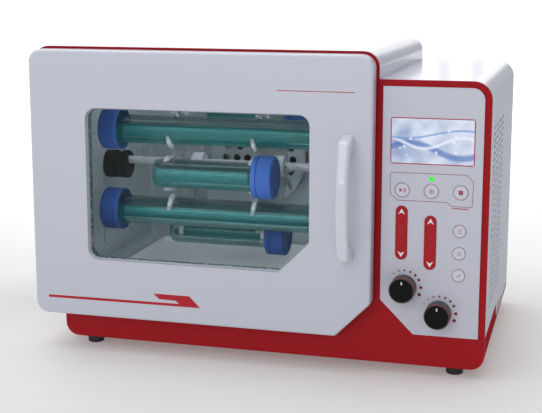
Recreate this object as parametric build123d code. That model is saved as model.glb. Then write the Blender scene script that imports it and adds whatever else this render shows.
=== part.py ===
from build123d import *
import os
from math import cos, radians, sin, sqrt

# Hybridization oven: an insulated bench chamber with a windowed door, a bottle rotor,
# a circulation fan and a control box on its right.
# Millimetres. While it is built, x runs right from the door's left edge, y runs back from
# the door's front face and z runs up from the bench. Every piece is moved at the end, so that
# the origin lies under the middle of the whole oven.

# ---------------------------------------------------------------- driving dimensions
RUNNING_FIT = 0.05          # radial clearance of a shaft in its bearing
CLEARANCE = 0.3             # gap between pieces that must not touch
OVERCUT = 1.0               # how far a cut runs past the surface that it opens
TINY = 0.01                 # lengths under this count as none

FOOT_HEIGHT = 11.0
FOOT_RADIUS = 9.5
FOOT_INSET_LEFT = 29.8      # foot centre from the plinth's left side
FOOT_INSET_RIGHT = 33.6     # foot centre from the control box's right side
FOOT_INSET_Y = 16.0         # foot centre from the housing's front and back
FOOT_BEVEL = 0.8

CUT_END_SOFTNESS = 0.35     # radius at the ends of a cut-off corner, of the other corners' radius

DOOR_WIDTH = 400.0
DOOR_HEIGHT = 310.0
DOOR_THICKNESS = 18.0
DOOR_BOTTOM = 43.0
DOOR_CORNER = 15.0
DOOR_CHAMFER = 39.0
DOOR_EDGE_ROUND = 3.0
DOOR_SKIN = 4.0
DOOR_WALL = 9.0
DOOR_GAP = 4.0              # space between the door and the fascia, filled by the gasket

WINDOW_MARGIN_LEFT = 69.0   # window from the door's edges
WINDOW_MARGIN_RIGHT = 68.5
WINDOW_MARGIN_BOTTOM = 68.5
WINDOW_MARGIN_TOP = 65.5
WINDOW_CHAMFER = 35.0
WINDOW_CORNER = 13.0
PANE_RECESS = 5.0
PANE_THICKNESS = 4.0
PANE_OVERLAP = 2.7
PANE_SPACING = 3.5
SPACER_INSIDE = 1.0         # how far the spacer shows inside the window's edge
SLEEVE_WALL = 3.0
INNER_PANEL_THICKNESS = 1.5

FASCIA_THICKNESS = 3.0
CHAMBER_RIM = 2.5           # how far the red rim stands out around the door
SHEET = 2.0                 # housing sheet
HOUSING_DEPTH = 315.0
REAR_PANEL_THICKNESS = 2.0
CHAMBER_CORNER = 17.5

CONTROL_WIDTH = 120.2
CONTROL_DROP = 29.5         # top of the control box below the chamber's top
CONTROL_CORNER = 20.0
PLINTH_LEFT = 27.5
PLINTH_CORNER = 16.0
TRAY_SIDE = 18.0            # height of the plinth tray's right side behind the stripe
STRIPE_HEIGHT = 36.0        # height of the thick front stretch of the red side stripe
STRIPE_LENGTH = 138.0
STRIPE_SLANT = 12.0

LINER_SHEET = 1.5
LINER_SIDE = 20.0           # the liner's inner face from the door's edge
LINER_RAISE = 19.0          # liner's floor above the door's lower edge
LINER_DROP = 17.0           # liner's ceiling below the door's upper edge
LINER_BACK_SPACE = 20.0     # room for insulation between the liner's back and the rear panel
LINER_CORNER = 14.0
LINER_BACK_ROUND = 7.0
OPENING_CHAMFER = 28.3
AIR_SLOT_LENGTH = 30.0
AIR_SLOT_WIDTH = 3.0
AIR_SLOT_INSETS = (163.0, 78.0, 48.0, 23.0)     # from the liner's back
AIR_SLOT_RISES = (30.0, 105.0, 180.0)           # above the liner's floor

TRAY_INSET = 24.0           # drip tray from the liner's side walls
TRAY_RIM = 7.0
TRAY_SHEET = 1.2
TRAY_FRONT = 20.0

GASKET_OUT = 12.0
GASKET_IN = 4.0

HINGE_OUT = 1.0             # hinge axis left of the door's edge
HINGE_KNUCKLE = 1.7
HINGE_PIN = 1.0
HINGE_LEAF = 1.2
HINGE_LEAF_WIDTH = 8.0
HINGE_LENGTH = 60.0
HINGE_MARGIN = 40.0         # hinges from the door's lower and upper edges

HANDLE_INSET = 26.6         # handle's middle from the door's right edge
HANDLE_MARGIN = 85.0        # handle's ends from the door's lower and upper edges
HANDLE_REACH = 33.0
HANDLE_SHOULDER = 22.0      # reach of the grip's ends, where it bends into the legs
HANDLE_WIDTH = 13.4
HANDLE_GRIP = 9.0           # grip's depth at its middle
HANDLE_LEG = 17.0           # leg's height at the door
HANDLE_LEAN = 5.0           # how far each leg leans in between the door and the grip
HANDLE_HEEL = 5.0           # grip's depth at its ends
HANDLE_EDGE = 4.0
HANDLE_OUTER_BEND = 12.0
HANDLE_INNER_BEND = 6.0

MAGNET_LENGTH = 30.0
MAGNET_WIDTH = 5.0
MAGNET_DEPTH = 4.0
MAGNET_MARGIN_LOW = 77.0    # magnets from the door's lower and upper edges
MAGNET_MARGIN_HIGH = 38.0

PANEL_MARGIN_LEFT = 5.0     # control plate from the control box's edges
PANEL_MARGIN_RIGHT = 7.5
PANEL_MARGIN_BOTTOM = 35.5
PANEL_MARGIN_TOP = 7.0
PANEL_CHAMFER = 37.0
PANEL_CORNER = 13.0
PANEL_THICKNESS = 1.7
PANEL_SEAT = 5.0            # width of the fascia edge that the control plate sits on
STANDOFF_HEIGHT = 4.3
STANDOFF_RADIUS = 3.0
BOARD_THICKNESS = 1.6
BOARD_RAISE = 0.233         # board's lower edge, as a share of the plate's height
BOARD_MARGIN = 1.0
STANDOFF_RISE = 18.0        # lower standoffs above the board's lower edge

# Places on the control plate are shares of its width and height, from its lower left corner.
DISPLAY_LOW = (0.0898, 0.6987)
DISPLAY_HIGH = (0.9083, 0.8756)
DISPLAY_GLASS = 2.0
DISPLAY_PROUD = 0.1

LED_PLACE = (0.4991, 0.6382)
LED_RADIUS = 2.4
LED_PROUD = 0.5

KEY_RADIUS = 8.0
KEY_ROW_HEIGHT = 0.5897
KEY_ROW_PLACES = (0.2074, 0.4981, 0.7889)
SMALL_KEY_RADIUS = 7.1
SMALL_KEY_COLUMN = 0.7880
SMALL_KEY_PLACES = (0.4349, 0.3457, 0.2561)
KEY_PROUD = 0.4
KEY_TRAVEL = 0.8
KEY_FLANGE = 1.2
KEY_EDGE = 0.3

ROCKER_WIDTH = 12.6
ROCKER_LENGTH = 59.3
ROCKER_PROUD = 0.9
ROCKER_PLACES = ((0.2065, 0.4165), (0.4981, 0.3820))
ROCKER_THICKNESS = 3.4
ROCKER_RIB = 1.5

KNOB_PLACES = ((0.2417, 0.1945), (0.6000, 0.0972))
KNOB_RADIUS = 14.1
KNOB_HEIGHT = 17.3
KNOB_CAP_RADIUS = 12.7
KNOB_CAP_DEPTH = 1.4
KNOB_CAP_PROUD = 0.4
KNOB_EDGE = 0.8
KNOB_WEB = 1.0              # knob material between the cap's seat and the shaft's end
KNOB_SHAFT_RADIUS = 3.0
KNOB_SHAFT_LENGTH = 26.0
POT_RADIUS = 9.0
POT_DEPTH = 12.0
POT_BUSHING = 4.2
POT_BACK = 2.0              # closed back of the potentiometer behind the shaft's bore

ROTOR_BACK = 2.5            # rotor's axis behind the middle of the chamber
ROTOR_UP = 2.0              # and above it
STATIONS = 10
STATION_RADIUS = 85.0
SHAFT_RADIUS = 5.0
SHAFT_END_GAP = 6.0         # shaft's ends from the liner's side walls
SHAFT_HOLE_RADIUS = 1.3
SHAFT_HOLE_PLACES = (141.0, 154.0, 240.0, 256.0)    # from the liner's left wall
CRADLE_RADIUS = 18.0
CRADLE_DROP = 6.0           # middle of the cradle below the rotor's axis
CRADLE_WALL_DISC = 15.0     # length of its disc at the wall, the groove and the free disc
CRADLE_GROOVE = 3.0
CRADLE_FREE_DISC = 12.0
CRADLE_EDGE = 2.0
CRADLE_NECK_RADIUS = 13.0   # web that joins the discs across the groove
COLLAR_RADIUS = 8.5
COLLAR_PLAY = 0.3           # between the collar and the sides of the groove
COUPLING_RADIUS = 13.0
COUPLING_LENGTH = 14.0
STUB_RADIUS = 4.0
WALL_HOLE_RADIUS = 6.0
CLIP_PLATE_PLACES = (116.0, 221.5)      # from the liner's left wall
CLIP_PLATE_THICKNESS = 4.5
CLIP_WALL = 4.4
CLIP_MOUTH = 32.0
CLIP_WEB_RADIUS = 72.0
CLIP_WINDOW_RADIUS = 8.5
CLIP_WINDOW_RING = 41.0
HUB_RADIUS = 13.0
HUB_LENGTH = 14.0

BOTTLE_RADIUS = 17.5
BOTTLE_WALL = 1.8
BOTTLE_END_ROUND = 6.0
NECK_RADIUS = 21.0
NECK_LENGTH = 19.0
CAP_RADIUS = 25.5
CAP_LENGTH = 24.0
CAP_TOP = 3.0
CAP_EDGE = 1.0
LONG_BOTTLE_START = 27.0    # cap face of the long bottles from the liner's left wall
LONG_BOTTLE_END = 33.0      # their closed end from its right wall
SHORT_BOTTLE_START = 98.0   # closed end of the short bottles from the liner's left wall
SHORT_BOTTLE = 150.5
LONG_STATIONS = (-1, 1)
SHORT_STATIONS = (-4, 0, 2)
LIQUID_LEVEL = 7.5          # liquid surface above the bottle's axis
LIQUID_END = 8.0            # air left between the liquid and the neck

FAN_LEFT = 10.0             # fan's axis left of the chamber's middle
FAN_DOWN = 9.0              # and below it
GUARD_RADIUS = 64.0
GUARD_DEPTH = 26.0
GUARD_SHEET = 1.5
GUARD_HOLE_RADIUS = 5.0
GUARD_RINGS = (17.0, 32.0, 47.0)
GUARD_RING_COUNTS = (6, 12, 18)
GUARD_WINDOWS = 12          # openings round the guard's rim
GUARD_WINDOW_WIDTH = 20.0
GUARD_WINDOW_EDGE = 4.5     # rim left in front of and behind each opening
IMPELLER_RADIUS = 47.0
IMPELLER_WIDTH = 11.0
IMPELLER_PLATE = 1.5
IMPELLER_HUB = 8.0
IMPELLER_EYE = 17.6         # inner radius of the blades
IMPELLER_BLADES = 12
IMPELLER_BACK = 5.0         # impeller plate in front of the liner's back wall
FAN_SHAFT_RADIUS = 2.5
FAN_MOTOR_RADIUS = 26.0
FAN_MOTOR_DEPTH = 14.0
HEATER_RADIUS = 55.0
HEATER_ROD = 3.0
HEATER_LEG = 2.4            # radius of the two legs that carry the ring
HEATER_LEG_OFFSET = 9.0     # each leg from the fan's middle plane
WALL_PASS = 6.0             # how far the legs and the probe reach behind the back wall's face
PROBE_INSET = 50.0          # probe from the liner's right wall
PROBE_DROP = 28.0           # and below its ceiling
PROBE_RADIUS = 2.0
PROBE_LENGTH = 35.0
PROBE_FLANGE_RADIUS = 5.0
PROBE_FLANGE = 1.5

MOTOR_RADIUS = 18.0
MOTOR_LENGTH = 46.0
GEARBOX_RADIUS = 22.0
GEARBOX_LENGTH = 26.0
STUB_IN_GEARBOX = 12.0

SUPPLY_WIDTH = 84.0
SUPPLY_DEPTH = 120.0
SUPPLY_HEIGHT = 45.0
SUPPLY_GAP = 10.0           # free room between the power supply and the mains inlet

INLET_INSET = 59.0          # mains inlet's middle from the control box's right side
INLET_RAISE = 79.0          # and above the plinth's underside
INLET_WIDTH = 28.0
INLET_HEIGHT = 48.0
INLET_FLANGE = 3.0
INLET_DEPTH = 24.0
SWITCH_HEIGHT = 16.0
SWITCH_WIDTH = 12.0
SWITCH_DEPTH = 9.0
SWITCH_FLANK = 4.0          # depth of the switch's end faces
SWITCH_PROUD = 0.4
SWITCH_DISH = 1.2
SWITCH_OFFSET = 12.0
SWITCH_TILT = 8.0           # the switch rests tilted this far and rocks as far the other way
SOCKET_HEIGHT = 16.0
SOCKET_WIDTH = 20.0
SOCKET_DEPTH = 15.0
PIN_RADIUS = 1.2
PIN_PLACES = ((-5.0, 2.0), (5.0, 2.0), (0.0, -3.0))
PIN_SHORT = 2.0             # pin ends this far inside the socket's mouth

VENT_COLUMNS = 4
VENT_ROWS = 29
VENT_LENGTH = 25.0
VENT_HEIGHT = 2.2
VENT_FRONT_GAP = 47.0       # middle of the first and last columns from the housing's front and back
VENT_BACK_GAP = 164.0
VENT_BOTTOM_GAP = 61.0      # middle of the first and last rows from the housing's bottom and top
VENT_TOP_GAP = 54.0
REAR_VENT_ROWS = 8
REAR_VENT_WIDTH = 60.0
REAR_VENT_DROP = 116.0      # lowest rear slot below the control box's top
SCREW_RADIUS = 3.5
SCREW_HEAD = 1.6
SCREW_SLOT_LENGTH = 4.9
SCREW_SLOT_WIDTH = 1.0

# ---------------------------------------------------------------- places worked out from them
DOOR_TOP = DOOR_BOTTOM + DOOR_HEIGHT
FASCIA_FRONT = DOOR_THICKNESS + DOOR_GAP
HOUSING_FRONT = FASCIA_FRONT + FASCIA_THICKNESS
HOUSING_BACK = HOUSING_FRONT + HOUSING_DEPTH
OVEN_BACK = HOUSING_BACK + REAR_PANEL_THICKNESS
CHAMBER_LEFT = -CHAMBER_RIM
CHAMBER_RIGHT = DOOR_WIDTH + CHAMBER_RIM
CHAMBER_BOTTOM = DOOR_BOTTOM - CHAMBER_RIM
CHAMBER_TOP = DOOR_TOP + CHAMBER_RIM
CONTROL_RIGHT = CHAMBER_RIGHT + CONTROL_WIDTH
CONTROL_TOP = CHAMBER_TOP - CONTROL_DROP
TRAY_TOP_RIGHT = FOOT_HEIGHT + TRAY_SIDE
STRIPE_TOP = FOOT_HEIGHT + STRIPE_HEIGHT
LINER_RIGHT = DOOR_WIDTH - LINER_SIDE
LINER_BACK = HOUSING_BACK - LINER_BACK_SPACE
LINER_FLOOR = DOOR_BOTTOM + LINER_RAISE
LINER_TOP = DOOR_TOP - LINER_DROP

WINDOW_LEFT = WINDOW_MARGIN_LEFT
WINDOW_RIGHT = DOOR_WIDTH - WINDOW_MARGIN_RIGHT
WINDOW_BOTTOM = DOOR_BOTTOM + WINDOW_MARGIN_BOTTOM
WINDOW_TOP = DOOR_TOP - WINDOW_MARGIN_TOP
HINGE_BOTTOMS = (DOOR_BOTTOM + HINGE_MARGIN, DOOR_TOP - HINGE_MARGIN - HINGE_LENGTH)
HANDLE_X = DOOR_WIDTH - HANDLE_INSET
HANDLE_BOTTOM = DOOR_BOTTOM + HANDLE_MARGIN
HANDLE_TOP = DOOR_TOP - HANDLE_MARGIN
MAGNET_BOTTOMS = (DOOR_BOTTOM + MAGNET_MARGIN_LOW, DOOR_TOP - MAGNET_MARGIN_HIGH - MAGNET_LENGTH)

PANEL_LEFT = CHAMBER_RIGHT + PANEL_MARGIN_LEFT
PANEL_RIGHT = CONTROL_RIGHT - PANEL_MARGIN_RIGHT
PANEL_BOTTOM = FOOT_HEIGHT + PANEL_MARGIN_BOTTOM
PANEL_TOP = CONTROL_TOP - PANEL_MARGIN_TOP
PANEL_FRONT = FASCIA_FRONT - PANEL_THICKNESS
BOARD_FRONT = FASCIA_FRONT + STANDOFF_HEIGHT
HINGE_AXIS = (-HINGE_OUT, DOOR_THICKNESS + DOOR_GAP / 2)


def panel_x(share):
    return PANEL_LEFT + share * (PANEL_RIGHT - PANEL_LEFT)


def panel_z(share):
    return PANEL_BOTTOM + share * (PANEL_TOP - PANEL_BOTTOM)


BOARD_BOTTOM = panel_z(BOARD_RAISE)
DISPLAY_LEFT = panel_x(DISPLAY_LOW[0])
DISPLAY_RIGHT = panel_x(DISPLAY_HIGH[0])
DISPLAY_BOTTOM = panel_z(DISPLAY_LOW[1])
DISPLAY_TOP = panel_z(DISPLAY_HIGH[1])
LED_X = panel_x(LED_PLACE[0])
LED_Z = panel_z(LED_PLACE[1])
KEY_ROW_Z = panel_z(KEY_ROW_HEIGHT)
KEY_ROW_XS = [panel_x(share) for share in KEY_ROW_PLACES]
SMALL_KEY_X = panel_x(SMALL_KEY_COLUMN)
SMALL_KEY_ZS = [panel_z(share) for share in SMALL_KEY_PLACES]
ROCKER_CENTRES = [(panel_x(x), panel_z(z)) for x, z in ROCKER_PLACES]
KNOB_CENTRES = [(panel_x(x), panel_z(z)) for x, z in KNOB_PLACES]

ROTOR_Y = (HOUSING_FRONT + LINER_BACK) / 2 + ROTOR_BACK
ROTOR_Z = (LINER_FLOOR + LINER_TOP) / 2 + ROTOR_UP
SHAFT_LEFT = LINER_SIDE + SHAFT_END_GAP
SHAFT_RIGHT = LINER_RIGHT - SHAFT_END_GAP
SHAFT_HOLE_XS = [LINER_SIDE + place for place in SHAFT_HOLE_PLACES]
CLIP_PLATE_XS = [LINER_SIDE + place for place in CLIP_PLATE_PLACES]
LONG_BOTTLE_LEFT = LINER_SIDE + LONG_BOTTLE_START
LONG_BOTTLE = LINER_RIGHT - LONG_BOTTLE_END - LONG_BOTTLE_LEFT
SHORT_BOTTLE_LEFT = LINER_SIDE + SHORT_BOTTLE_START
CAP_INNER = NECK_RADIUS + CLEARANCE
FAN_X = (LINER_SIDE + LINER_RIGHT) / 2 - FAN_LEFT
FAN_Z = (LINER_FLOOR + LINER_TOP) / 2 - FAN_DOWN
PROBE_X = LINER_RIGHT - PROBE_INSET
PROBE_Z = LINER_TOP - PROBE_DROP

INLET_X = CONTROL_RIGHT - INLET_INSET
INLET_Z = FOOT_HEIGHT + INLET_RAISE
VENT_FIRST_Y = HOUSING_FRONT + VENT_FRONT_GAP
VENT_FIRST_Z = FOOT_HEIGHT + VENT_BOTTOM_GAP
VENT_PITCH_Y = (HOUSING_DEPTH - VENT_FRONT_GAP - VENT_BACK_GAP) / (VENT_COLUMNS - 1)
VENT_PITCH_Z = (CONTROL_TOP - VENT_TOP_GAP - VENT_FIRST_Z) / (VENT_ROWS - 1)
REAR_VENT_BOTTOM = CONTROL_TOP - REAR_VENT_DROP

nodes = {}


# ---------------------------------------------------------------- helpers
def block(x0, x1, y0, y1, z0, z1):
    """Box between two corners."""
    return Pos((x0 + x1) / 2, (y0 + y1) / 2, (z0 + z1) / 2) * Box(x1 - x0, y1 - y0, z1 - z0)


def rod_x(x0, x1, y, z, radius):
    """Cylinder along x."""
    return Pos((x0 + x1) / 2, y, z) * Rot(0, 90, 0) * Cylinder(radius, x1 - x0)


def rod_y(y0, y1, x, z, radius):
    """Cylinder along y."""
    return Pos(x, (y0 + y1) / 2, z) * Rot(90, 0, 0) * Cylinder(radius, y1 - y0)


def rod_z(z0, z1, x, y, radius):
    """Upright cylinder."""
    return Pos(x, y, (z0 + z1) / 2) * Cylinder(radius, z1 - z0)


def rounded_face(points, radii):
    """Polygon with a radius for each corner; zero leaves the corner sharp."""
    face = make_face(Polyline(*points, close=True))
    for point, radius in zip(points, radii):
        if radius > 0:
            corner = face.vertices().sort_by_distance(point)[0]
            face = fillet(corner, radius)
    return face


def plate(face, y0, y1):
    """Face drawn in x and z, made solid from y0 to y1."""
    return extrude(Plane.XZ.offset(-y1) * face, amount=y1 - y0)


def side_plate(face, x0, x1):
    """Face drawn in y and z, made solid from x0 to x1."""
    return extrude(Plane.YZ.offset(x0) * face, amount=x1 - x0)


def cut_corner_face(x0, x1, z0, z1, chamfer, corner, grow=0.0):
    """Rounded rectangle with its lower right corner cut off, grown all round by grow."""
    cut = chamfer + grow * (2 - sqrt(2))
    round_off = max(corner + grow, 1.0)
    points = [
        (x0 - grow, z0 - grow),
        (x1 + grow - cut, z0 - grow),
        (x1 + grow, z0 - grow + cut),
        (x1 + grow, z1 + grow),
        (x0 - grow, z1 + grow),
    ]
    soft = max(CUT_END_SOFTNESS * round_off, 1.0)
    return rounded_face(points, [round_off, soft, soft, round_off, round_off])


def door_face(grow=0.0):
    return cut_corner_face(
        0, DOOR_WIDTH, DOOR_BOTTOM, DOOR_TOP, DOOR_CHAMFER, DOOR_CORNER, grow)


def window_face(grow=0.0):
    return cut_corner_face(
        WINDOW_LEFT, WINDOW_RIGHT, WINDOW_BOTTOM, WINDOW_TOP, WINDOW_CHAMFER, WINDOW_CORNER, grow)


def opening_face(grow=0.0):
    return cut_corner_face(
        LINER_SIDE, LINER_RIGHT, LINER_FLOOR, LINER_TOP, OPENING_CHAMFER, LINER_CORNER, grow)


def panel_face(grow=0.0):
    """Control plate's outline: lower left corner cut off, upper right corner round."""
    cut = PANEL_CHAMFER + grow * (2 - sqrt(2))
    points = [
        (PANEL_LEFT - grow + cut, PANEL_BOTTOM - grow),
        (PANEL_RIGHT + grow, PANEL_BOTTOM - grow),
        (PANEL_RIGHT + grow, PANEL_TOP + grow),
        (PANEL_LEFT - grow, PANEL_TOP + grow),
        (PANEL_LEFT - grow, PANEL_BOTTOM - grow + cut),
    ]
    return rounded_face(points, [0, 0, PANEL_CORNER + grow, 0, 0])


def box_face(x0, x1, z0, z1, radii):
    """Rectangle with radii for its corners: lower left, lower right, upper right, upper left."""
    return rounded_face([(x0, z0), (x1, z0), (x1, z1), (x0, z1)], radii)


def chamber_face(shrink=0.0):
    radius = CHAMBER_CORNER - shrink
    return box_face(
        CHAMBER_LEFT + shrink, CHAMBER_RIGHT - shrink, CHAMBER_BOTTOM + shrink,
        CHAMBER_TOP - shrink, [radius, radius, radius, radius])


def plinth_face(top, shrink=0.0):
    """Plinth's cross-section up to a given height, with round lower corners."""
    return box_face(
        PLINTH_LEFT + shrink, CONTROL_RIGHT - shrink, FOOT_HEIGHT + shrink, top,
        [PLINTH_CORNER - shrink, PLINTH_CORNER - shrink, 0, 0])


def front_outline():
    """Outline that the fascia and the rear panel share: chamber, control box and plinth."""
    control = box_face(
        CHAMBER_RIGHT - CHAMBER_CORNER - OVERCUT, CONTROL_RIGHT, FOOT_HEIGHT, CONTROL_TOP,
        [0, PLINTH_CORNER, CONTROL_CORNER, 0])
    return chamber_face() + control + plinth_face(CHAMBER_BOTTOM + CHAMBER_CORNER)


def obround_z(y0, y1, x, z0, z1, width):
    """Upright capsule from y0 to y1: straight sides and half-round ends."""
    middle = block(x - width / 2, x + width / 2, y0, y1, z0 + width / 2, z1 - width / 2)
    low = rod_y(y0, y1, x, z0 + width / 2, width / 2)
    high = rod_y(y0, y1, x, z1 - width / 2, width / 2)
    return middle + low + high


def group(shapes):
    """Several solids that share one node."""
    return Compound([solid for shape in shapes for solid in shape.solids()])


def put(name, shape):
    nodes[name] = shape


# ---------------------------------------------------------------- housing
def make_fascia():
    opening = plate(opening_face(), FASCIA_FRONT - OVERCUT, HOUSING_FRONT + OVERCUT)
    behind_panel = plate(panel_face(-PANEL_SEAT), FASCIA_FRONT - OVERCUT, HOUSING_FRONT + OVERCUT)
    return plate(front_outline(), FASCIA_FRONT, HOUSING_FRONT) - opening - behind_panel


def make_chamber_housing():
    shell = plate(chamber_face() - chamber_face(SHEET), HOUSING_FRONT, HOUSING_BACK)
    shaft_hole = rod_x(
        CHAMBER_RIGHT - SHEET - OVERCUT, CHAMBER_RIGHT + OVERCUT, ROTOR_Y, ROTOR_Z, WALL_HOLE_RADIUS)
    return shell - shaft_hole


def stripe_cut(gap):
    """What the control housing's side leaves free for the tray's side, seen from the right."""
    low = TRAY_TOP_RIGHT + gap
    high = STRIPE_TOP + gap
    end = HOUSING_FRONT + STRIPE_LENGTH
    return make_face(Polyline(
        (HOUSING_FRONT - OVERCUT, FOOT_HEIGHT - OVERCUT), (HOUSING_BACK + OVERCUT, FOOT_HEIGHT - OVERCUT),
        (HOUSING_BACK + OVERCUT, low), (end + STRIPE_SLANT + gap, low), (end + gap, high),
        (HOUSING_FRONT - OVERCUT, high), close=True))


def make_control_housing():
    outer = box_face(
        CHAMBER_RIGHT, CONTROL_RIGHT, FOOT_HEIGHT, CONTROL_TOP, [0, 0, CONTROL_CORNER, 0])
    inner = box_face(
        CHAMBER_RIGHT - OVERCUT, CONTROL_RIGHT - SHEET, FOOT_HEIGHT - OVERCUT, CONTROL_TOP - SHEET,
        [0, 0, CONTROL_CORNER - SHEET, 0])
    shell = plate(outer - inner, HOUSING_FRONT, HOUSING_BACK)
    shell -= side_plate(stripe_cut(CLEARANCE), CONTROL_RIGHT - SHEET - OVERCUT, CONTROL_RIGHT + OVERCUT)
    slots = []
    for column in range(VENT_COLUMNS):
        for row in range(VENT_ROWS):
            y = VENT_FIRST_Y + column * VENT_PITCH_Y
            z = VENT_FIRST_Z + row * VENT_PITCH_Z
            slots.append(block(
                CONTROL_RIGHT - SHEET - OVERCUT, CONTROL_RIGHT + OVERCUT, y - VENT_LENGTH / 2,
                y + VENT_LENGTH / 2, z - VENT_HEIGHT / 2, z + VENT_HEIGHT / 2))
    return shell - slots


def make_base_tray():
    top = STRIPE_TOP
    shell = plate(plinth_face(top), HOUSING_FRONT, HOUSING_BACK)
    hollow = plate(plinth_face(top + OVERCUT, SHEET), HOUSING_FRONT - OVERCUT, HOUSING_BACK + OVERCUT)
    tray = shell - hollow
    tray -= block(
        PLINTH_LEFT - OVERCUT, CHAMBER_RIGHT + CONTROL_WIDTH / 2, HOUSING_FRONT - OVERCUT,
        HOUSING_BACK + OVERCUT, CHAMBER_BOTTOM, top + OVERCUT)
    side = side_plate(stripe_cut(0.0), CONTROL_RIGHT - PLINTH_CORNER, CONTROL_RIGHT + OVERCUT)
    low_part = block(
        PLINTH_LEFT - OVERCUT, CONTROL_RIGHT - PLINTH_CORNER, HOUSING_FRONT - OVERCUT,
        HOUSING_BACK + OVERCUT, FOOT_HEIGHT - OVERCUT, top + OVERCUT)
    return tray & (side + low_part)


def make_rear_panel():
    panel = plate(front_outline(), HOUSING_BACK, OVEN_BACK)
    panel -= block(
        INLET_X - INLET_WIDTH / 2 + INLET_FLANGE - CLEARANCE,
        INLET_X + INLET_WIDTH / 2 - INLET_FLANGE + CLEARANCE,
        HOUSING_BACK - OVERCUT, OVEN_BACK + OVERCUT,
        INLET_Z - INLET_HEIGHT / 2 + INLET_FLANGE - CLEARANCE,
        INLET_Z + INLET_HEIGHT / 2 - INLET_FLANGE + CLEARANCE)
    slots = []
    for row in range(REAR_VENT_ROWS):
        z = REAR_VENT_BOTTOM + row * VENT_PITCH_Z
        slots.append(block(
            INLET_X - REAR_VENT_WIDTH / 2, INLET_X + REAR_VENT_WIDTH / 2, HOUSING_BACK - OVERCUT,
            OVEN_BACK + OVERCUT, z - VENT_HEIGHT / 2, z + VENT_HEIGHT / 2))
    return panel - slots


def rear_screw_places():
    inset = CHAMBER_CORNER
    xs = (CHAMBER_LEFT + inset, CHAMBER_RIGHT - inset)
    places = [(x, z) for x in xs for z in (CHAMBER_BOTTOM + inset, CHAMBER_TOP - inset)]
    places += [(CONTROL_RIGHT - inset, CONTROL_TOP - inset)]
    places += [(CONTROL_RIGHT - inset, FOOT_HEIGHT + inset), (PLINTH_LEFT + inset, FOOT_HEIGHT + inset)]
    return places


def make_rear_screws():
    heads = []
    for x, z in rear_screw_places():
        head = rod_y(OVEN_BACK, OVEN_BACK + SCREW_HEAD, x, z, SCREW_RADIUS)
        slot = block(
            x - SCREW_SLOT_LENGTH / 2, x + SCREW_SLOT_LENGTH / 2, OVEN_BACK + SCREW_HEAD / 2,
            OVEN_BACK + SCREW_HEAD + OVERCUT, z - SCREW_SLOT_WIDTH / 2, z + SCREW_SLOT_WIDTH / 2)
        heads.append(head - slot)
    return group(heads)


def foot_places():
    xs = (PLINTH_LEFT + FOOT_INSET_LEFT, CONTROL_RIGHT - FOOT_INSET_RIGHT)
    ys = (HOUSING_FRONT + FOOT_INSET_Y, HOUSING_BACK - FOOT_INSET_Y)
    return [(x, y) for x in xs for y in ys]


def make_feet():
    feet = []
    for x, y in foot_places():
        foot = rod_z(0, FOOT_HEIGHT, x, y, FOOT_RADIUS)
        foot = chamfer(foot.edges().group_by(Axis.Z)[0], FOOT_BEVEL)
        feet.append(foot)
    return group(feet)


put("front_fascia", make_fascia())
put("chamber_housing", make_chamber_housing())
put("control_housing", make_control_housing())
put("base_tray", make_base_tray())
put("rear_panel", make_rear_panel())
put("rear_screws", make_rear_screws())
put("rubber_feet", make_feet())


# ---------------------------------------------------------------- chamber
def liner_box(grow):
    """Space inside the liner, grown by the sheet for its outside; open at the front."""
    shape = plate(
        box_face(
            LINER_SIDE - grow, LINER_RIGHT + grow, LINER_FLOOR - grow, LINER_TOP + grow,
            [LINER_CORNER + grow] * 4),
        HOUSING_FRONT, LINER_BACK + grow)
    back_edges = shape.faces().sort_by(Axis.Y)[-1].edges()
    return fillet(back_edges, LINER_BACK_ROUND + grow)


def heater_legs(y0, y1, radius):
    """Two rods that carry the ring element through the back wall."""
    top = FAN_Z + sqrt(HEATER_RADIUS ** 2 - HEATER_LEG_OFFSET ** 2)
    return [rod_y(y0, y1, FAN_X + side * HEATER_LEG_OFFSET, top, radius) for side in (-1, 1)]


def make_liner():
    liner = liner_box(LINER_SHEET) - liner_box(0.0)
    holes = []
    for inset in AIR_SLOT_INSETS:
        for rise in AIR_SLOT_RISES:
            middle = LINER_FLOOR + rise + AIR_SLOT_LENGTH / 2
            slot = Pos(LINER_SIDE, LINER_BACK - inset, middle) * Rot(0, 90, 0)
            holes.append(slot * extrude(
                SlotOverall(AIR_SLOT_LENGTH, AIR_SLOT_WIDTH), LINER_SHEET * 2, both=True))
    holes.append(rod_x(
        LINER_RIGHT - OVERCUT, LINER_RIGHT + LINER_SHEET + OVERCUT, ROTOR_Y, ROTOR_Z, WALL_HOLE_RADIUS))
    wall = (LINER_BACK - OVERCUT, LINER_BACK + LINER_SHEET + OVERCUT)
    holes.append(rod_y(*wall, FAN_X, FAN_Z, WALL_HOLE_RADIUS))
    holes.append(rod_y(*wall, PROBE_X, PROBE_Z, PROBE_RADIUS + CLEARANCE))
    holes += heater_legs(*wall, HEATER_LEG + CLEARANCE)
    return liner - holes


def make_insulation():
    outside = plate(chamber_face(SHEET + CLEARANCE), HOUSING_FRONT, HOUSING_BACK - CLEARANCE)
    wool = outside - liner_box(LINER_SHEET + CLEARANCE)
    wool -= rod_x(
        LINER_RIGHT, CHAMBER_RIGHT, ROTOR_Y, ROTOR_Z, WALL_HOLE_RADIUS)
    wool -= rod_y(LINER_BACK, HOUSING_BACK, FAN_X, FAN_Z, FAN_MOTOR_RADIUS + CLEARANCE)
    passage = (LINER_BACK, LINER_BACK + WALL_PASS + CLEARANCE)
    for leg in heater_legs(*passage, HEATER_LEG + CLEARANCE):
        wool -= leg
    wool -= rod_y(*passage, PROBE_X, PROBE_Z, PROBE_RADIUS + CLEARANCE)
    return wool


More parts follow.
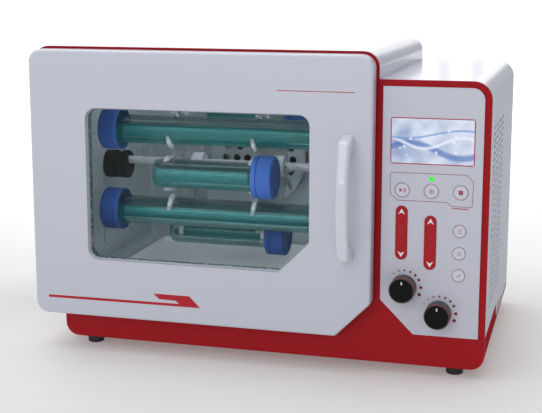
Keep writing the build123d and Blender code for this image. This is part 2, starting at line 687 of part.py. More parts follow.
def make_drip_tray():
    left = LINER_SIDE + TRAY_INSET
    right = LINER_RIGHT - TRAY_INSET
    front = HOUSING_FRONT + TRAY_FRONT
    back = LINER_BACK - LINER_BACK_ROUND
    pan = block(left, right, front, back, LINER_FLOOR, LINER_FLOOR + TRAY_RIM)
    hollow = block(
        left + TRAY_SHEET, right - TRAY_SHEET, front + TRAY_SHEET, back - TRAY_SHEET,
        LINER_FLOOR + TRAY_SHEET, LINER_FLOOR + TRAY_RIM + OVERCUT)
    return pan - hollow


def ring_holes(y0, y1, radius):
    """Round holes on circles about the fan's axis."""
    holes = []
    for ring_radius, count in zip(GUARD_RINGS, GUARD_RING_COUNTS):
        for i in range(count):
            angle = radians(360 / count * i)
            holes.append(rod_y(
                y0, y1, FAN_X + ring_radius * cos(angle), FAN_Z + ring_radius * sin(angle), radius))
    return holes


def make_fan_guard():
    front = LINER_BACK - GUARD_DEPTH
    guard = rod_y(front, LINER_BACK, FAN_X, FAN_Z, GUARD_RADIUS)
    guard -= rod_y(front + GUARD_SHEET, LINER_BACK + OVERCUT, FAN_X, FAN_Z, GUARD_RADIUS - GUARD_SHEET)
    guard -= ring_holes(front - OVERCUT, front + GUARD_SHEET + OVERCUT, GUARD_HOLE_RADIUS)
    windows = []
    for i in range(GUARD_WINDOWS):
        turn = Pos(FAN_X, 0, FAN_Z) * Rot(0, 360 / GUARD_WINDOWS * i, 0)
        windows.append(turn * block(
            GUARD_RADIUS - GUARD_SHEET * 2, GUARD_RADIUS + OVERCUT, front + GUARD_WINDOW_EDGE,
            LINER_BACK - GUARD_WINDOW_EDGE, -GUARD_WINDOW_WIDTH / 2, GUARD_WINDOW_WIDTH / 2))
    return guard - windows


def make_impeller():
    back = LINER_BACK - IMPELLER_BACK
    wheel = rod_y(back - IMPELLER_PLATE, back, FAN_X, FAN_Z, IMPELLER_RADIUS)
    wheel += rod_y(back - IMPELLER_WIDTH, back, FAN_X, FAN_Z, IMPELLER_HUB)
    wheel += rod_y(back, LINER_BACK + LINER_SHEET + FAN_MOTOR_DEPTH / 2, FAN_X, FAN_Z, FAN_SHAFT_RADIUS)
    for i in range(IMPELLER_BLADES):
        blade = block(
            IMPELLER_EYE, IMPELLER_RADIUS - CLEARANCE, back - IMPELLER_WIDTH, back - IMPELLER_PLATE,
            -IMPELLER_PLATE / 2, IMPELLER_PLATE / 2)
        wheel += Pos(FAN_X, 0, FAN_Z) * Rot(0, 360 / IMPELLER_BLADES * i, 0) * blade
    return wheel


def make_fan_motor():
    front = LINER_BACK + LINER_SHEET
    motor = rod_y(front, front + FAN_MOTOR_DEPTH, FAN_X, FAN_Z, FAN_MOTOR_RADIUS)
    bore = rod_y(
        front - OVERCUT, front + FAN_MOTOR_DEPTH / 2 + CLEARANCE, FAN_X, FAN_Z,
        FAN_SHAFT_RADIUS + RUNNING_FIT)
    return motor - bore


def make_heater():
    y = LINER_BACK - GUARD_DEPTH / 2
    ring = Pos(FAN_X, y, FAN_Z) * Rot(90, 0, 0) * Torus(HEATER_RADIUS, HEATER_ROD)
    for leg in heater_legs(y, LINER_BACK + WALL_PASS, HEATER_LEG):
        ring += leg
    return ring


def make_probe():
    rod = rod_y(LINER_BACK - PROBE_LENGTH, LINER_BACK + WALL_PASS, PROBE_X, PROBE_Z, PROBE_RADIUS)
    flange = rod_y(LINER_BACK - PROBE_FLANGE, LINER_BACK, PROBE_X, PROBE_Z, PROBE_FLANGE_RADIUS)
    return rod + flange


put("chamber_liner", make_liner())
put("chamber_insulation", make_insulation())
put("drip_tray", make_drip_tray())
put("fan_guard", make_fan_guard())
put("fan_impeller", make_impeller())
put("fan_motor", make_fan_motor())
put("heating_element", make_heater())
put("temperature_probe", make_probe())


# ---------------------------------------------------------------- door
pane_back = PANE_RECESS + PANE_THICKNESS
inner_pane_front = pane_back + PANE_SPACING
inner_panel_front = DOOR_THICKNESS - INNER_PANEL_THICKNESS


def make_door_frame():
    frame = plate(door_face(), 0, DOOR_THICKNESS)
    front_edges = frame.faces().sort_by(Axis.Y)[0].edges()
    frame = fillet(front_edges, DOOR_EDGE_ROUND)
    pocket = plate(door_face(-DOOR_WALL), DOOR_SKIN, DOOR_THICKNESS + OVERCUT)
    sleeve = plate(window_face(PANE_OVERLAP + CLEARANCE + SLEEVE_WALL), DOOR_SKIN, inner_panel_front)
    frame -= pocket
    frame += sleeve
    frame -= plate(window_face(), -OVERCUT, DOOR_THICKNESS)
    frame -= plate(window_face(PANE_OVERLAP + CLEARANCE), PANE_RECESS, DOOR_THICKNESS)
    for bottom in MAGNET_BOTTOMS:
        frame -= magnet_block(bottom, CLEARANCE)
    return frame


def magnet_block(bottom, grow):
    middle = DOOR_WIDTH - DOOR_WALL / 2
    return block(
        middle - MAGNET_WIDTH / 2 - grow, middle + MAGNET_WIDTH / 2 + grow,
        DOOR_THICKNESS - MAGNET_DEPTH, DOOR_THICKNESS + (OVERCUT if grow else 0), bottom - grow,
        bottom + MAGNET_LENGTH + grow)


def make_inner_panel():
    panel = plate(door_face(-DOOR_WALL - CLEARANCE), inner_panel_front, DOOR_THICKNESS)
    return panel - plate(window_face(), inner_panel_front - OVERCUT, DOOR_THICKNESS + OVERCUT)


def make_door_insulation():
    wool = plate(door_face(-DOOR_WALL - CLEARANCE), DOOR_SKIN + CLEARANCE, inner_panel_front)
    hole = window_face(PANE_OVERLAP + CLEARANCE * 2 + SLEEVE_WALL)
    return wool - plate(hole, 0, DOOR_THICKNESS)


def make_gasket():
    ring = opening_face(GASKET_OUT) - opening_face(GASKET_IN)
    return plate(ring, DOOR_THICKNESS, FASCIA_FRONT - CLEARANCE)


def bow_face(foot_low, foot_high, lean, shoulder, reach, bend):
    """Side view of a bow from the door: two leaning legs joined by an arc."""
    low, high = foot_low + lean, foot_high - lean
    edge = Polyline((0, foot_high), (0, foot_low), (-shoulder, low))
    edge += ThreePointArc((-shoulder, low), (-reach, (low + high) / 2), (-shoulder, high))
    edge += Polyline((-shoulder, high), (0, foot_high))
    face = make_face(edge)
    for corner in ((-shoulder, low), (-shoulder, high)):
        face = fillet(face.vertices().sort_by_distance(corner)[0], bend)
    return face


def make_handle():
    """Bow handle: an arched grip on two short legs, rounded along its four long edges."""
    outer = bow_face(
        HANDLE_BOTTOM, HANDLE_TOP, HANDLE_LEAN, HANDLE_SHOULDER, HANDLE_REACH, HANDLE_OUTER_BEND)
    inner = bow_face(
        HANDLE_BOTTOM + HANDLE_LEG, HANDLE_TOP - HANDLE_LEG, HANDLE_LEAN,
        HANDLE_SHOULDER - HANDLE_HEEL, HANDLE_REACH - HANDLE_GRIP, HANDLE_INNER_BEND)
    bow = side_plate(outer - inner, HANDLE_X - HANDLE_WIDTH / 2, HANDLE_X + HANDLE_WIDTH / 2)
    rims = [edge for edge in bow.edges()
            if edge.bounding_box().size.X < TINY and edge.bounding_box().min.Y < -TINY]
    return fillet(rims, HANDLE_EDGE)


def hinge_segments(bottom):
    third = HINGE_LENGTH / 3
    return [(bottom + third * i, bottom + third * (i + 1)) for i in range(3)]


def make_hinge_leaves(on_door):
    """Two slim butt hinge leaves; the door's hold the middle knuckle, the body's the outer two."""
    x, y = HINGE_AXIS
    if on_door:
        y0, y1 = DOOR_THICKNESS, DOOR_THICKNESS + HINGE_LEAF
    else:
        y0, y1 = FASCIA_FRONT - HINGE_LEAF, FASCIA_FRONT
    leaves = []
    for bottom in HINGE_BOTTOMS:
        free_side = x + HINGE_KNUCKLE + CLEARANCE
        leaf = block(free_side, HINGE_LEAF_WIDTH - HINGE_OUT, y0, y1, bottom, bottom + HINGE_LENGTH)
        for i, (z0, z1) in enumerate(hinge_segments(bottom)):
            if on_door != (i == 1):
                continue
            low = z0 + (CLEARANCE / 2 if i > 0 else 0)
            high = z1 - (CLEARANCE / 2 if i < 2 else 0)
            leaf += block(x, free_side, y0, y1, low, high)
            leaf += rod_z(low, high, x, y, HINGE_KNUCKLE)
        leaf -= rod_z(bottom - OVERCUT, bottom + HINGE_LENGTH + OVERCUT, x, y, HINGE_PIN + RUNNING_FIT)
        leaves.append(leaf)
    return group(leaves)


def make_hinge_pins():
    x, y = HINGE_AXIS
    pins = [rod_z(z, z + HINGE_LENGTH, x, y, HINGE_PIN) for z in HINGE_BOTTOMS]
    return group(pins)


put("door_frame", make_door_frame())
put("door_inner_panel", make_inner_panel())
put("door_insulation", make_door_insulation())
put("window_panes", group([
    plate(window_face(PANE_OVERLAP), PANE_RECESS, pane_back),
    plate(window_face(PANE_OVERLAP), inner_pane_front, inner_panel_front)]))
spacer_ring = window_face(PANE_OVERLAP) - window_face(-SPACER_INSIDE)
put("pane_spacer", plate(spacer_ring, pane_back, inner_pane_front))
put("door_gasket", make_gasket())
put("door_handle", make_handle())
put("door_magnets", group([magnet_block(z, 0.0) for z in MAGNET_BOTTOMS]))
put("door_hinge_leaves", make_hinge_leaves(True))
put("body_hinge_leaves", make_hinge_leaves(False))
put("hinge_pins", make_hinge_pins())


# ---------------------------------------------------------------- control panel
def standoff_places():
    inset = PANEL_SEAT * 2
    xs = (PANEL_LEFT + inset, PANEL_RIGHT - inset)
    return [(x, z) for x in xs for z in (BOARD_BOTTOM + STANDOFF_RISE, PANEL_TOP - STANDOFF_RISE)]


def key_places():
    """Name, centre and radius of each push key."""
    row = [(f"key_top_{i + 1}", x, KEY_ROW_Z, KEY_RADIUS) for i, x in enumerate(KEY_ROW_XS)]
    column = [(f"key_side_{i + 1}", SMALL_KEY_X, z, SMALL_KEY_RADIUS) for i, z in enumerate(SMALL_KEY_ZS)]
    return row + column


def rocker_capsule(x, z, y0, y1, grow=0.0):
    half = ROCKER_LENGTH / 2 + grow
    return obround_z(y0, y1, x, z - half, z + half, ROCKER_WIDTH + grow * 2)


def make_control_plate():
    panel = plate(panel_face(), PANEL_FRONT, FASCIA_FRONT)
    through = (PANEL_FRONT - OVERCUT, FASCIA_FRONT + OVERCUT)
    panel -= block(
        DISPLAY_LEFT, DISPLAY_RIGHT, *through, DISPLAY_BOTTOM, DISPLAY_TOP)
    for _, x, z, radius in key_places():
        panel -= rod_y(*through, x, z, radius + CLEARANCE)
    for x, z in ROCKER_CENTRES:
        panel -= rocker_capsule(x, z, *through, CLEARANCE)
    for x, z in KNOB_CENTRES:
        panel -= rod_y(*through, x, z, POT_BUSHING + CLEARANCE / 2)
    panel -= rod_y(*through, LED_X, LED_Z, LED_RADIUS + CLEARANCE / 2)
    for x, z in standoff_places():
        panel += rod_y(FASCIA_FRONT, BOARD_FRONT, x, z, STANDOFF_RADIUS)
    return panel


def make_key(x, z, radius):
    flange_front = FASCIA_FRONT + CLEARANCE
    flange_back = flange_front + KEY_FLANGE
    key = rod_y(PANEL_FRONT - KEY_PROUD, flange_back, x, z, radius)
    front_rim = key.edges().group_by(Axis.Y)[0]
    key = fillet(front_rim, KEY_EDGE)
    key += rod_y(flange_front, flange_back, x, z, radius + KEY_FLANGE)
    stem_end = BOARD_FRONT - KEY_TRAVEL - CLEARANCE
    return key + rod_y(flange_back, stem_end, x, z, radius / 3)


def make_rocker(x, z):
    front = PANEL_FRONT - ROCKER_PROUD
    rocker = rocker_capsule(x, z, front, front + ROCKER_THICKNESS)
    rib = rod_x(
        x - ROCKER_WIDTH / 3, x + ROCKER_WIDTH / 3, BOARD_FRONT - CLEARANCE - ROCKER_RIB, z, ROCKER_RIB)
    neck = block(
        x - ROCKER_WIDTH / 3, x + ROCKER_WIDTH / 3, front + ROCKER_THICKNESS / 2,
        BOARD_FRONT - CLEARANCE - ROCKER_RIB, z - ROCKER_RIB, z + ROCKER_RIB)
    return rocker + neck + rib


def make_knob(x, z):
    """Round knob, its recessed cap and its shaft."""
    back = PANEL_FRONT - CLEARANCE
    front = back - KNOB_HEIGHT
    shaft_front = front + KNOB_CAP_DEPTH + KNOB_WEB
    shaft_back = shaft_front + KNOB_SHAFT_LENGTH
    body = rod_y(front, back, x, z, KNOB_RADIUS)
    body = fillet(body.edges().group_by(Axis.Y)[0], KNOB_EDGE)
    body -= rod_y(front - OVERCUT, front + KNOB_CAP_DEPTH, x, z, KNOB_CAP_RADIUS + RUNNING_FIT)
    body -= rod_y(shaft_front, back + OVERCUT, x, z, KNOB_SHAFT_RADIUS)
    cap = rod_y(front - KNOB_CAP_PROUD, front + KNOB_CAP_DEPTH, x, z, KNOB_CAP_RADIUS)
    shaft = rod_y(shaft_front, shaft_back, x, z, KNOB_SHAFT_RADIUS)
    return body, cap, shaft


def make_potentiometers():
    pots = []
    for x, z in KNOB_CENTRES:
        pot = rod_y(FASCIA_FRONT, FASCIA_FRONT + POT_DEPTH, x, z, POT_RADIUS)
        pot += rod_y(PANEL_FRONT, FASCIA_FRONT, x, z, POT_BUSHING)
        pot -= rod_y(
            PANEL_FRONT - OVERCUT, FASCIA_FRONT + POT_DEPTH - POT_BACK, x, z,
            KNOB_SHAFT_RADIUS + RUNNING_FIT)
        pots.append(pot)
    return group(pots)


def make_display():
    gap = RUNNING_FIT
    edges = (DISPLAY_LEFT + gap, DISPLAY_RIGHT - gap)
    heights = (DISPLAY_BOTTOM + gap, DISPLAY_TOP - gap)
    front = PANEL_FRONT - DISPLAY_PROUD
    glass = block(*edges, front, front + DISPLAY_GLASS, *heights)
    module = block(*edges, front + DISPLAY_GLASS, BOARD_FRONT, *heights)
    return glass, module


def make_board():
    inset = PANEL_SEAT + BOARD_MARGIN
    return block(
        PANEL_LEFT + inset, PANEL_RIGHT - inset, BOARD_FRONT, BOARD_FRONT + BOARD_THICKNESS,
        BOARD_BOTTOM, PANEL_TOP - inset * 2)


put("control_plate", make_control_plate())
display_glass, display_module = make_display()
put("display_glass", display_glass)
put("display_module", display_module)
put("control_board", make_board())
put("status_led", rod_y(PANEL_FRONT - LED_PROUD, BOARD_FRONT, LED_X, LED_Z, LED_RADIUS))
for key_name, key_x, key_z, key_radius in key_places():
    put(key_name, make_key(key_x, key_z, key_radius))
for rocker_name, (rocker_x, rocker_z) in zip(("rocker_left", "rocker_right"), ROCKER_CENTRES):
    put(rocker_name, make_rocker(rocker_x, rocker_z))
for knob_name, (knob_x, knob_z) in zip(("knob_left", "knob_right"), KNOB_CENTRES):
    knob_body, knob_cap, knob_shaft = make_knob(knob_x, knob_z)
    put(f"{knob_name}_body", knob_body)
    put(f"{knob_name}_cap", knob_cap)
    put(f"{knob_name}_shaft", knob_shaft)
put("potentiometers", make_potentiometers())


# ---------------------------------------------------------------- rotor and bottles
def station_centre(index):
    """Middle of a bottle station; station 0 faces the door and the next ones go down."""
    angle = radians(360 / STATIONS * index)
    return ROTOR_Y - STATION_RADIUS * cos(angle), ROTOR_Z - STATION_RADIUS * sin(angle)


def make_rotor_shaft():
    shaft = rod_x(SHAFT_LEFT, SHAFT_RIGHT, ROTOR_Y, ROTOR_Z, SHAFT_RADIUS)
    for x in SHAFT_HOLE_XS:
        shaft -= rod_y(ROTOR_Y - SHAFT_RADIUS - OVERCUT, ROTOR_Y, x, ROTOR_Z, SHAFT_HOLE_RADIUS)
    return shaft


def make_bearing_block():
    """Two discs on the wall with a slot open at the top, so that the rotor can be lifted out."""
    groove_left = LINER_SIDE + CRADLE_WALL_DISC
    groove_right = groove_left + CRADLE_GROOVE
    end = groove_right + CRADLE_FREE_DISC
    z = ROTOR_Z - CRADLE_DROP
    cradle = rod_x(groove_left, groove_right, ROTOR_Y, z, CRADLE_NECK_RADIUS)
    cradle -= rod_x(groove_left, groove_right, ROTOR_Y, ROTOR_Z, COLLAR_RADIUS + RUNNING_FIT)
    for left, right in ((LINER_SIDE, groove_left), (groove_right, end)):
        disc = rod_x(left, right, ROTOR_Y, z, CRADLE_RADIUS)
        rounded = disc.edges().filter_by(GeomType.CIRCLE).sort_by(Axis.X)
        cradle += fillet(rounded[-1:] if left == LINER_SIDE else rounded, CRADLE_EDGE)
    half = SHAFT_RADIUS + RUNNING_FIT
    cradle -= rod_x(SHAFT_LEFT - CLEARANCE, end + OVERCUT, ROTOR_Y, ROTOR_Z, half)
    return cradle - block(
        SHAFT_LEFT - CLEARANCE, end + OVERCUT, ROTOR_Y - half, ROTOR_Y + half, ROTOR_Z,
        ROTOR_Z + CRADLE_RADIUS)


def make_collar():
    left = LINER_SIDE + CRADLE_WALL_DISC + COLLAR_PLAY
    right = left + CRADLE_GROOVE - COLLAR_PLAY * 2
    collar = rod_x(left, right, ROTOR_Y, ROTOR_Z, COLLAR_RADIUS)
    return collar - rod_x(left - OVERCUT, right + OVERCUT, ROTOR_Y, ROTOR_Z, SHAFT_RADIUS)


def make_drive_coupling():
    right = LINER_RIGHT - CLEARANCE
    left = right - COUPLING_LENGTH
    cup = rod_x(left, right, ROTOR_Y, ROTOR_Z, COUPLING_RADIUS)
    cup += rod_x(right, CHAMBER_RIGHT + STUB_IN_GEARBOX, ROTOR_Y, ROTOR_Z, STUB_RADIUS)
    return cup - rod_x(left - OVERCUT, SHAFT_RIGHT, ROTOR_Y, ROTOR_Z, SHAFT_RADIUS)


def make_clip_plate(x):
    x0 = x - CLIP_PLATE_THICKNESS / 2
    x1 = x + CLIP_PLATE_THICKNESS / 2
    outline = Circle(CLIP_WEB_RADIUS)
    for i in range(STATIONS):
        turn = Rot(0, 0, 360 / STATIONS * i)
        outline += turn * Pos(STATION_RADIUS, 0) * Circle(BOTTLE_RADIUS + CLIP_WALL)
    outline -= Circle(SHAFT_RADIUS)
    arm = BOTTLE_RADIUS + CLIP_WALL + OVERCUT
    for i in range(STATIONS):
        turn = Rot(0, 0, 360 / STATIONS * i)
        outline -= turn * Pos(STATION_RADIUS, 0) * Circle(BOTTLE_RADIUS)
        outline -= turn * Pos(STATION_RADIUS + arm / 2, 0) * Rectangle(arm, CLIP_MOUTH)
        between = Rot(0, 0, 360 / STATIONS * (i + 0.5))
        outline -= between * Pos(CLIP_WINDOW_RING, 0) * Circle(CLIP_WINDOW_RADIUS)
    face = Plane.YZ.offset(x0) * Pos(ROTOR_Y, ROTOR_Z) * outline
    return extrude(face, amount=x1 - x0)


def make_clip_hubs():
    hubs = []
    for x in CLIP_PLATE_XS:
        left = x + CLIP_PLATE_THICKNESS / 2
        hub = rod_x(left, left + HUB_LENGTH, ROTOR_Y, ROTOR_Z, HUB_RADIUS)
        hub -= rod_x(left - OVERCUT, left + HUB_LENGTH + OVERCUT, ROTOR_Y, ROTOR_Z, SHAFT_RADIUS)
        hub -= rod_y(
            ROTOR_Y - HUB_RADIUS - OVERCUT, ROTOR_Y, left + HUB_LENGTH / 2, ROTOR_Z, SHAFT_HOLE_RADIUS)
        hubs.append(hub)
    return group(hubs)


def revolved_along_x(points, y, z):
    """Solid of revolution about a line along x; the points are (x, radius)."""
    profile = Plane.XY * make_face(Polyline(*points, close=True))
    return Pos(0, y, z) * revolve(profile, Axis.X)


def make_bottle(cap_face, direction, length, station):
    """Glass tube with a closed end and a wide neck, drawn from the cap's face inwards."""
    y, z = station_centre(station)
    mouth = cap_face + direction * CAP_TOP
    shoulder = mouth + direction * NECK_LENGTH
    end = cap_face + direction * length
    inner_end = end - direction * BOTTLE_WALL
    inner = BOTTLE_RADIUS - BOTTLE_WALL
    bend = BOTTLE_END_ROUND
    mid = bend * (1 - sqrt(0.5))
    points = [
        (mouth, inner), (mouth, NECK_RADIUS), (shoulder, NECK_RADIUS), (shoulder, BOTTLE_RADIUS),
        (end - direction * bend, BOTTLE_RADIUS), (end - direction * mid, BOTTLE_RADIUS - mid),
        (end, BOTTLE_RADIUS - bend), (end, 0), (inner_end, 0), (inner_end, inner - bend),
        (inner_end - direction * mid, inner - mid), (inner_end - direction * bend, inner)]
    return revolved_along_x(points, y, z)


def make_cap(cap_face, direction, station):
    y, z = station_centre(station)
    open_end = cap_face + direction * CAP_LENGTH
    mouth = cap_face + direction * CAP_TOP
    bevel = cap_face + direction * CAP_EDGE
    points = [
        (cap_face, 0), (cap_face, CAP_RADIUS - CAP_EDGE), (bevel, CAP_RADIUS),
        (open_end, CAP_RADIUS), (open_end, CAP_INNER), (mouth, CAP_INNER), (mouth, 0)]
    return revolved_along_x(points, y, z)


def make_liquid(cap_face, direction, length, station):
    """Liquid in a bottle that lies on its side, with its level surface up."""
    y, z = station_centre(station)
    radius = BOTTLE_RADIUS - BOTTLE_WALL - RUNNING_FIT
    ends = sorted((
        cap_face + direction * (CAP_TOP + NECK_LENGTH + LIQUID_END),
        cap_face + direction * (length - BOTTLE_WALL - BOTTLE_END_ROUND)))
    filled = rod_x(*ends, y, z, radius)
    above = block(
        ends[0] - OVERCUT, ends[1] + OVERCUT, y - radius - OVERCUT, y + radius + OVERCUT,
        z + LIQUID_LEVEL, z + radius + OVERCUT)
    return filled - above


def bottle_list():
    """Cap face, direction from the cap to the closed end, length and station of each bottle."""
    long_ones = [(LONG_BOTTLE_LEFT, 1, LONG_BOTTLE, s) for s in LONG_STATIONS]
    short_face = SHORT_BOTTLE_LEFT + SHORT_BOTTLE
    short_ones = [(short_face, -1, SHORT_BOTTLE, s) for s in SHORT_STATIONS]
    return long_ones, short_ones


put("rotor_shaft", make_rotor_shaft())
put("bearing_block", make_bearing_block())
put("shaft_collar", make_collar())
put("drive_coupling", make_drive_coupling())
put("clip_plates", group([make_clip_plate(x) for x in CLIP_PLATE_XS]))
put("clip_hubs", make_clip_hubs())
long_bottles, short_bottles = bottle_list()
put("long_bottles", group([make_bottle(*b) for b in long_bottles]))
put("short_bottles", group([make_bottle(*b) for b in short_bottles]))
put("bottle_caps", group([
    make_cap(face, way, station) for face, way, _, station in long_bottles + short_bottles]))
put("bottle_liquid", group([make_liquid(*b) for b in long_bottles + short_bottles]))


# ---------------------------------------------------------------- drive and electrics
def make_gear_motor():
    wall = CHAMBER_RIGHT
    motor = rod_x(wall, wall + GEARBOX_LENGTH, ROTOR_Y, ROTOR_Z, GEARBOX_RADIUS)
    motor += rod_x(
        wall + GEARBOX_LENGTH, wall + GEARBOX_LENGTH + MOTOR_LENGTH, ROTOR_Y, ROTOR_Z, MOTOR_RADIUS)
    bore = rod_x(
        wall - OVERCUT, wall + STUB_IN_GEARBOX + CLEARANCE, ROTOR_Y, ROTOR_Z, STUB_RADIUS + RUNNING_FIT)
    return motor - bore


def make_power_supply():
    floor = FOOT_HEIGHT + SHEET
    right = CONTROL_RIGHT - PLINTH_CORNER
    back = HOUSING_BACK - INLET_DEPTH - SUPPLY_GAP
    return block(
        right - SUPPLY_WIDTH, right, back - SUPPLY_DEPTH, back, floor, floor + SUPPLY_HEIGHT)


def make_power_inlet():
    """Mains inlet with a socket below and a switch well above, seen from behind."""
    half_w = INLET_WIDTH / 2
    half_h = INLET_HEIGHT / 2
    flange = block(
        INLET_X - half_w, INLET_X + half_w, OVEN_BACK, OVEN_BACK + INLET_FLANGE, INLET_Z - half_h,
        INLET_Z + half_h)
    body = block(
        INLET_X - half_w + INLET_FLANGE, INLET_X + half_w - INLET_FLANGE, OVEN_BACK - INLET_DEPTH,
        OVEN_BACK, INLET_Z - half_h + INLET_FLANGE, INLET_Z + half_h - INLET_FLANGE)
    outer = OVEN_BACK + INLET_FLANGE
    socket_z = INLET_Z - SWITCH_OFFSET
    socket = block(
        INLET_X - SOCKET_WIDTH / 2, INLET_X + SOCKET_WIDTH / 2, outer - SOCKET_DEPTH, outer + OVERCUT,
        socket_z - SOCKET_HEIGHT / 2, socket_z + SOCKET_HEIGHT / 2)
    well_half = SWITCH_HEIGHT / 2 + CLEARANCE * 2
    switch_z = INLET_Z + SWITCH_OFFSET
    well = block(
        INLET_X - SWITCH_WIDTH / 2 - CLEARANCE, INLET_X + SWITCH_WIDTH / 2 + CLEARANCE,
        outer - SWITCH_DEPTH - CLEARANCE, outer + OVERCUT, switch_z - well_half, switch_z + well_half)
    inlet = flange + body - socket - well
    for x, z in PIN_PLACES:
        inlet += rod_y(
            outer - SOCKET_DEPTH, outer - PIN_SHORT, INLET_X + x, socket_z + z, PIN_RADIUS)
    return inlet


def make_power_switch():
    outer = OVEN_BACK + INLET_FLANGE
    switch_z = INLET_Z + SWITCH_OFFSET
    half = SWITCH_HEIGHT / 2
    flank = outer + SWITCH_PROUD - SWITCH_FLANK
    profile = make_face(Polyline(
        (flank, switch_z - half), (outer + SWITCH_PROUD, switch_z - half + SWITCH_PROUD),
        (outer - SWITCH_DISH, switch_z), (outer + SWITCH_PROUD, switch_z + half - SWITCH_PROUD),
        (flank, switch_z + half), (outer - SWITCH_DEPTH, switch_z), close=True))
    rocker = side_plate(profile, INLET_X - SWITCH_WIDTH / 2, INLET_X + SWITCH_WIDTH / 2)
    pivot = (0, outer - SWITCH_DEPTH / 2, switch_z)
    return Pos(*pivot) * Rot(SWITCH_TILT, 0, 0) * Pos(0, -pivot[1], -pivot[2]) * rocker


put("gear_motor", make_gear_motor())
put("power_supply", make_power_supply())
put("power_inlet", make_power_inlet())
put("power_switch", make_power_switch())

# ---------------------------------------------------------------- origin and export
os.makedirs("parts", exist_ok=True)
boxes = [shape.bounding_box() for shape in nodes.values()]
MOVE_X = -(min(box.min.X for box in boxes) + max(box.max.X for box in boxes)) / 2
MOVE_Y = -(min(box.min.Y for box in boxes) + max(box.max.Y for box in boxes)) / 2

for name, shape in nodes.items():
    export_step(Pos(MOVE_X, MOVE_Y, 0) * shape, f"parts/{name}.step")
print(len(nodes), "pieces; moved by", round(MOVE_X, 3), round(MOVE_Y, 3))
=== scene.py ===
from math import atan2, cos, pi, radians, sin, tan

import bmesh
import bpy
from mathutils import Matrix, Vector


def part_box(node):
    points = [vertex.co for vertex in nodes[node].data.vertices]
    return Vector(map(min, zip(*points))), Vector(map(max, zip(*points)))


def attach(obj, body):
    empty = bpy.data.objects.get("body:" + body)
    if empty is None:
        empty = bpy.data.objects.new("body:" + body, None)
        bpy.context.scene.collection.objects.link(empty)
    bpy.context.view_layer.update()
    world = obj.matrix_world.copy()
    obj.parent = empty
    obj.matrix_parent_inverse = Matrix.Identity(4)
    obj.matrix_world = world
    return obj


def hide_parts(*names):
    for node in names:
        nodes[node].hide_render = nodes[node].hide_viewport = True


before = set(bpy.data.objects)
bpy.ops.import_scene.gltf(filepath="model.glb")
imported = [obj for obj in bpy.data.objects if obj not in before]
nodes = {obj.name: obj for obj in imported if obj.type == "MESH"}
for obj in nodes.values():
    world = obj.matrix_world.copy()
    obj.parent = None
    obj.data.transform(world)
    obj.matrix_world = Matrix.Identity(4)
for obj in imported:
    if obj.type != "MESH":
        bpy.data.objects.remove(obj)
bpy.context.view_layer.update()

# ---------------------------------------------------------------- places
# Lengths below are in millimetres in the oven's own axes: x from the door's left edge, y from
# the door's front face backwards and z from the bench.
DOOR_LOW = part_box("door_frame")[0]
PLATE_Y = 20.3              # face of the control plate
INK = 0.08                  # how far a printed mark stands out
SUNK = 0.02                 # how far it reaches into what carries it

CAP_RADIUS = 25.5
CAP_LENGTH = 24.0
CAP_TOP = 3.0
CAP_INNER = 21.3
ROTOR_Y = 175.0
ROTOR_Z = 201.0
STATION_RADIUS = 85.0
STATION_STEP = 36            # degrees from one bottle station to the next
STATIONS = 10
LIQUID_LEVEL = (0.0070, 0.0080)     # metres above a bottle's axis, where liquid gives way to air
CLIP_PLATES = (136.0, 241.5)
KNOBS = (("knob_left", 433.6, 99.5), ("knob_right", 472.3, 73.0))
KNOB_FRONT = 2.7
KNOB_BACK = 20.0
KEYS = (("key_top_1", 429.9, 207.2, 8.0), ("key_top_2", 461.3, 207.2, 8.0),
        ("key_top_3", 492.7, 207.2, 8.0), ("key_side_1", 492.6, 165.0, 7.1),
        ("key_side_2", 492.6, 140.7, 7.1), ("key_side_3", 492.6, 116.3, 7.1))
KEY_FACE = 19.9
ROCKERS = (("rocker_left", 429.8, 160.0), ("rocker_right", 461.3, 150.6))
ROCKER_FACE = 19.4
ROCKER_HALF = 29.65
WINDOW = (69.0, 331.5, 111.5, 287.5)        # left, right, bottom and top of the door's opening
WINDOW_CHAMFER = 35.0
WINDOW_CORNER = 13.0
CUT_SOFTNESS = 0.35         # share of the corner's radius that rounds the cut corner
PANE_FACE = 5.0


def at(x, y, z):
    """Point in metres in the row's frame."""
    return Vector((DOOR_LOW.x + x / 1000, DOOR_LOW.y + y / 1000, z / 1000))


def outline_of(name):
    """Left, right, bottom and top of a node in the oven's millimetres."""
    low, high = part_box(name)
    return ((low.x - DOOR_LOW.x) * 1000, (high.x - DOOR_LOW.x) * 1000, low.z * 1000, high.z * 1000)


DISPLAY = outline_of("display_glass")
SIDE_X = outline_of("control_housing")[1]       # outer face of the control box


